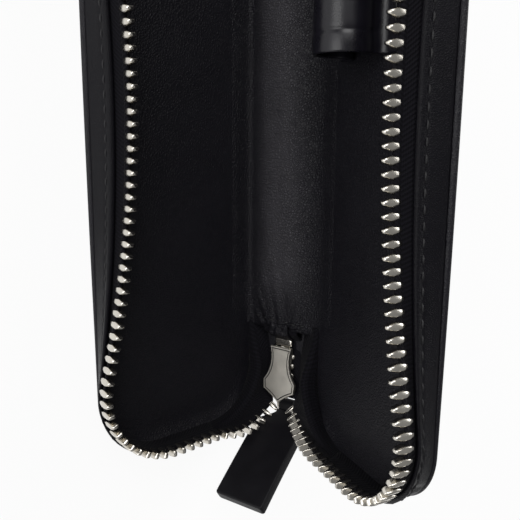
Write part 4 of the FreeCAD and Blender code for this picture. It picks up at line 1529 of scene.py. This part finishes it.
def studio_lamp(name, place, size, power):
    """Square soft lamp at a place in metres, turned towards the case."""
    light = bpy.data.lights.new(name, "AREA")
    light.size = size
    light.energy = power
    lamp = bpy.data.objects.new(name, light)
    back = unit(np.array(place) - np.array(LAMP_AIM))
    right = unit(np.cross((0.0, 1.0, 0.01), back))
    lamp.matrix_world = standing(place, right, np.cross(back, right), back)
    bpy.context.scene.collection.objects.link(lamp)


class PENCASE_OT_stage(bpy.types.Operator):
    """Set up the floor, the lamps, the world and the camera"""

    bl_idname = "pen_case.stage"
    bl_label = "Stage"

    def execute(self, context):
        scene = context.scene
        mesh = bpy.data.meshes.new("floor")
        corners = np.array([(-1, -1, 0), (1, -1, 0), (1, 1, 0), (-1, 1, 0)]) * FLOOR_SPAN
        mesh.from_pydata(corners.tolist(), [], [(0, 1, 2, 3)])
        mesh.materials.append(floor_finish())
        floor = bpy.data.objects.new("floor", mesh)
        scene.collection.objects.link(floor)
        for lamp in LAMPS:
            studio_lamp(*lamp)
        world = bpy.data.worlds.new("studio")
        world.use_nodes = True
        background = world.node_tree.nodes["Background"].inputs
        background["Color"].default_value = WHITE
        background["Strength"].default_value = WORLD_STRENGTH
        scene.world = world
        scene.view_settings.view_transform = "Standard"
        lens = bpy.data.cameras.new("camera")
        lens.lens = CAMERA_LENS
        lens.sensor_width = SENSOR
        lens.clip_start = 0.005
        camera = bpy.data.objects.new("camera", lens)
        back = np.cross(CAMERA_RIGHT, CAMERA_UP)
        camera.matrix_world = standing(CAMERA_PLACE, CAMERA_RIGHT, CAMERA_UP, back)
        scene.collection.objects.link(camera)
        scene.camera = camera
        return {"FINISHED"}


OPERATORS = (
    PENCASE_OT_covers, PENCASE_OT_linings, PENCASE_OT_walls, PENCASE_OT_zip, PENCASE_OT_leads,
    PENCASE_OT_spine, PENCASE_OT_folds, PENCASE_OT_slider, PENCASE_OT_loop, PENCASE_OT_stage,
)


class PENCASE_PT_panel(bpy.types.Panel):
    """Lists the pieces of the case and its settings"""

    bl_idname = "PENCASE_PT_panel"
    bl_label = "Pen case"
    bl_space_type = "VIEW_3D"
    bl_region_type = "UI"
    bl_category = "Pen case"

    def draw(self, context):
        column = self.layout.column()
        for name in PenCaseLooks.__annotations__:
            column.prop(context.scene.pen_case_looks, name)
        for operator in OPERATORS:
            column.operator(operator.bl_idname)


CLASSES = (PenCaseLooks, *OPERATORS, PENCASE_PT_panel)


def register():
    """Add the classes and the scene's settings."""
    for cls in CLASSES:
        bpy.utils.register_class(cls)
    bpy.types.Scene.pen_case_looks = PointerProperty(type=PenCaseLooks)


def unregister():
    """Take the settings and the classes away again."""
    del bpy.types.Scene.pen_case_looks
    for cls in reversed(CLASSES):
        bpy.utils.unregister_class(cls)


def main():
    """Make every piece and the stage."""
    register()
    bpy.ops.pen_case.covers()
    bpy.ops.pen_case.linings()
    bpy.ops.pen_case.walls()
    bpy.ops.pen_case.zip()
    bpy.ops.pen_case.leads()
    bpy.ops.pen_case.spine()
    bpy.ops.pen_case.folds()
    bpy.ops.pen_case.slider()
    bpy.ops.pen_case.loop()
    bpy.ops.pen_case.stage()


if __name__ == "__main__":
    main()
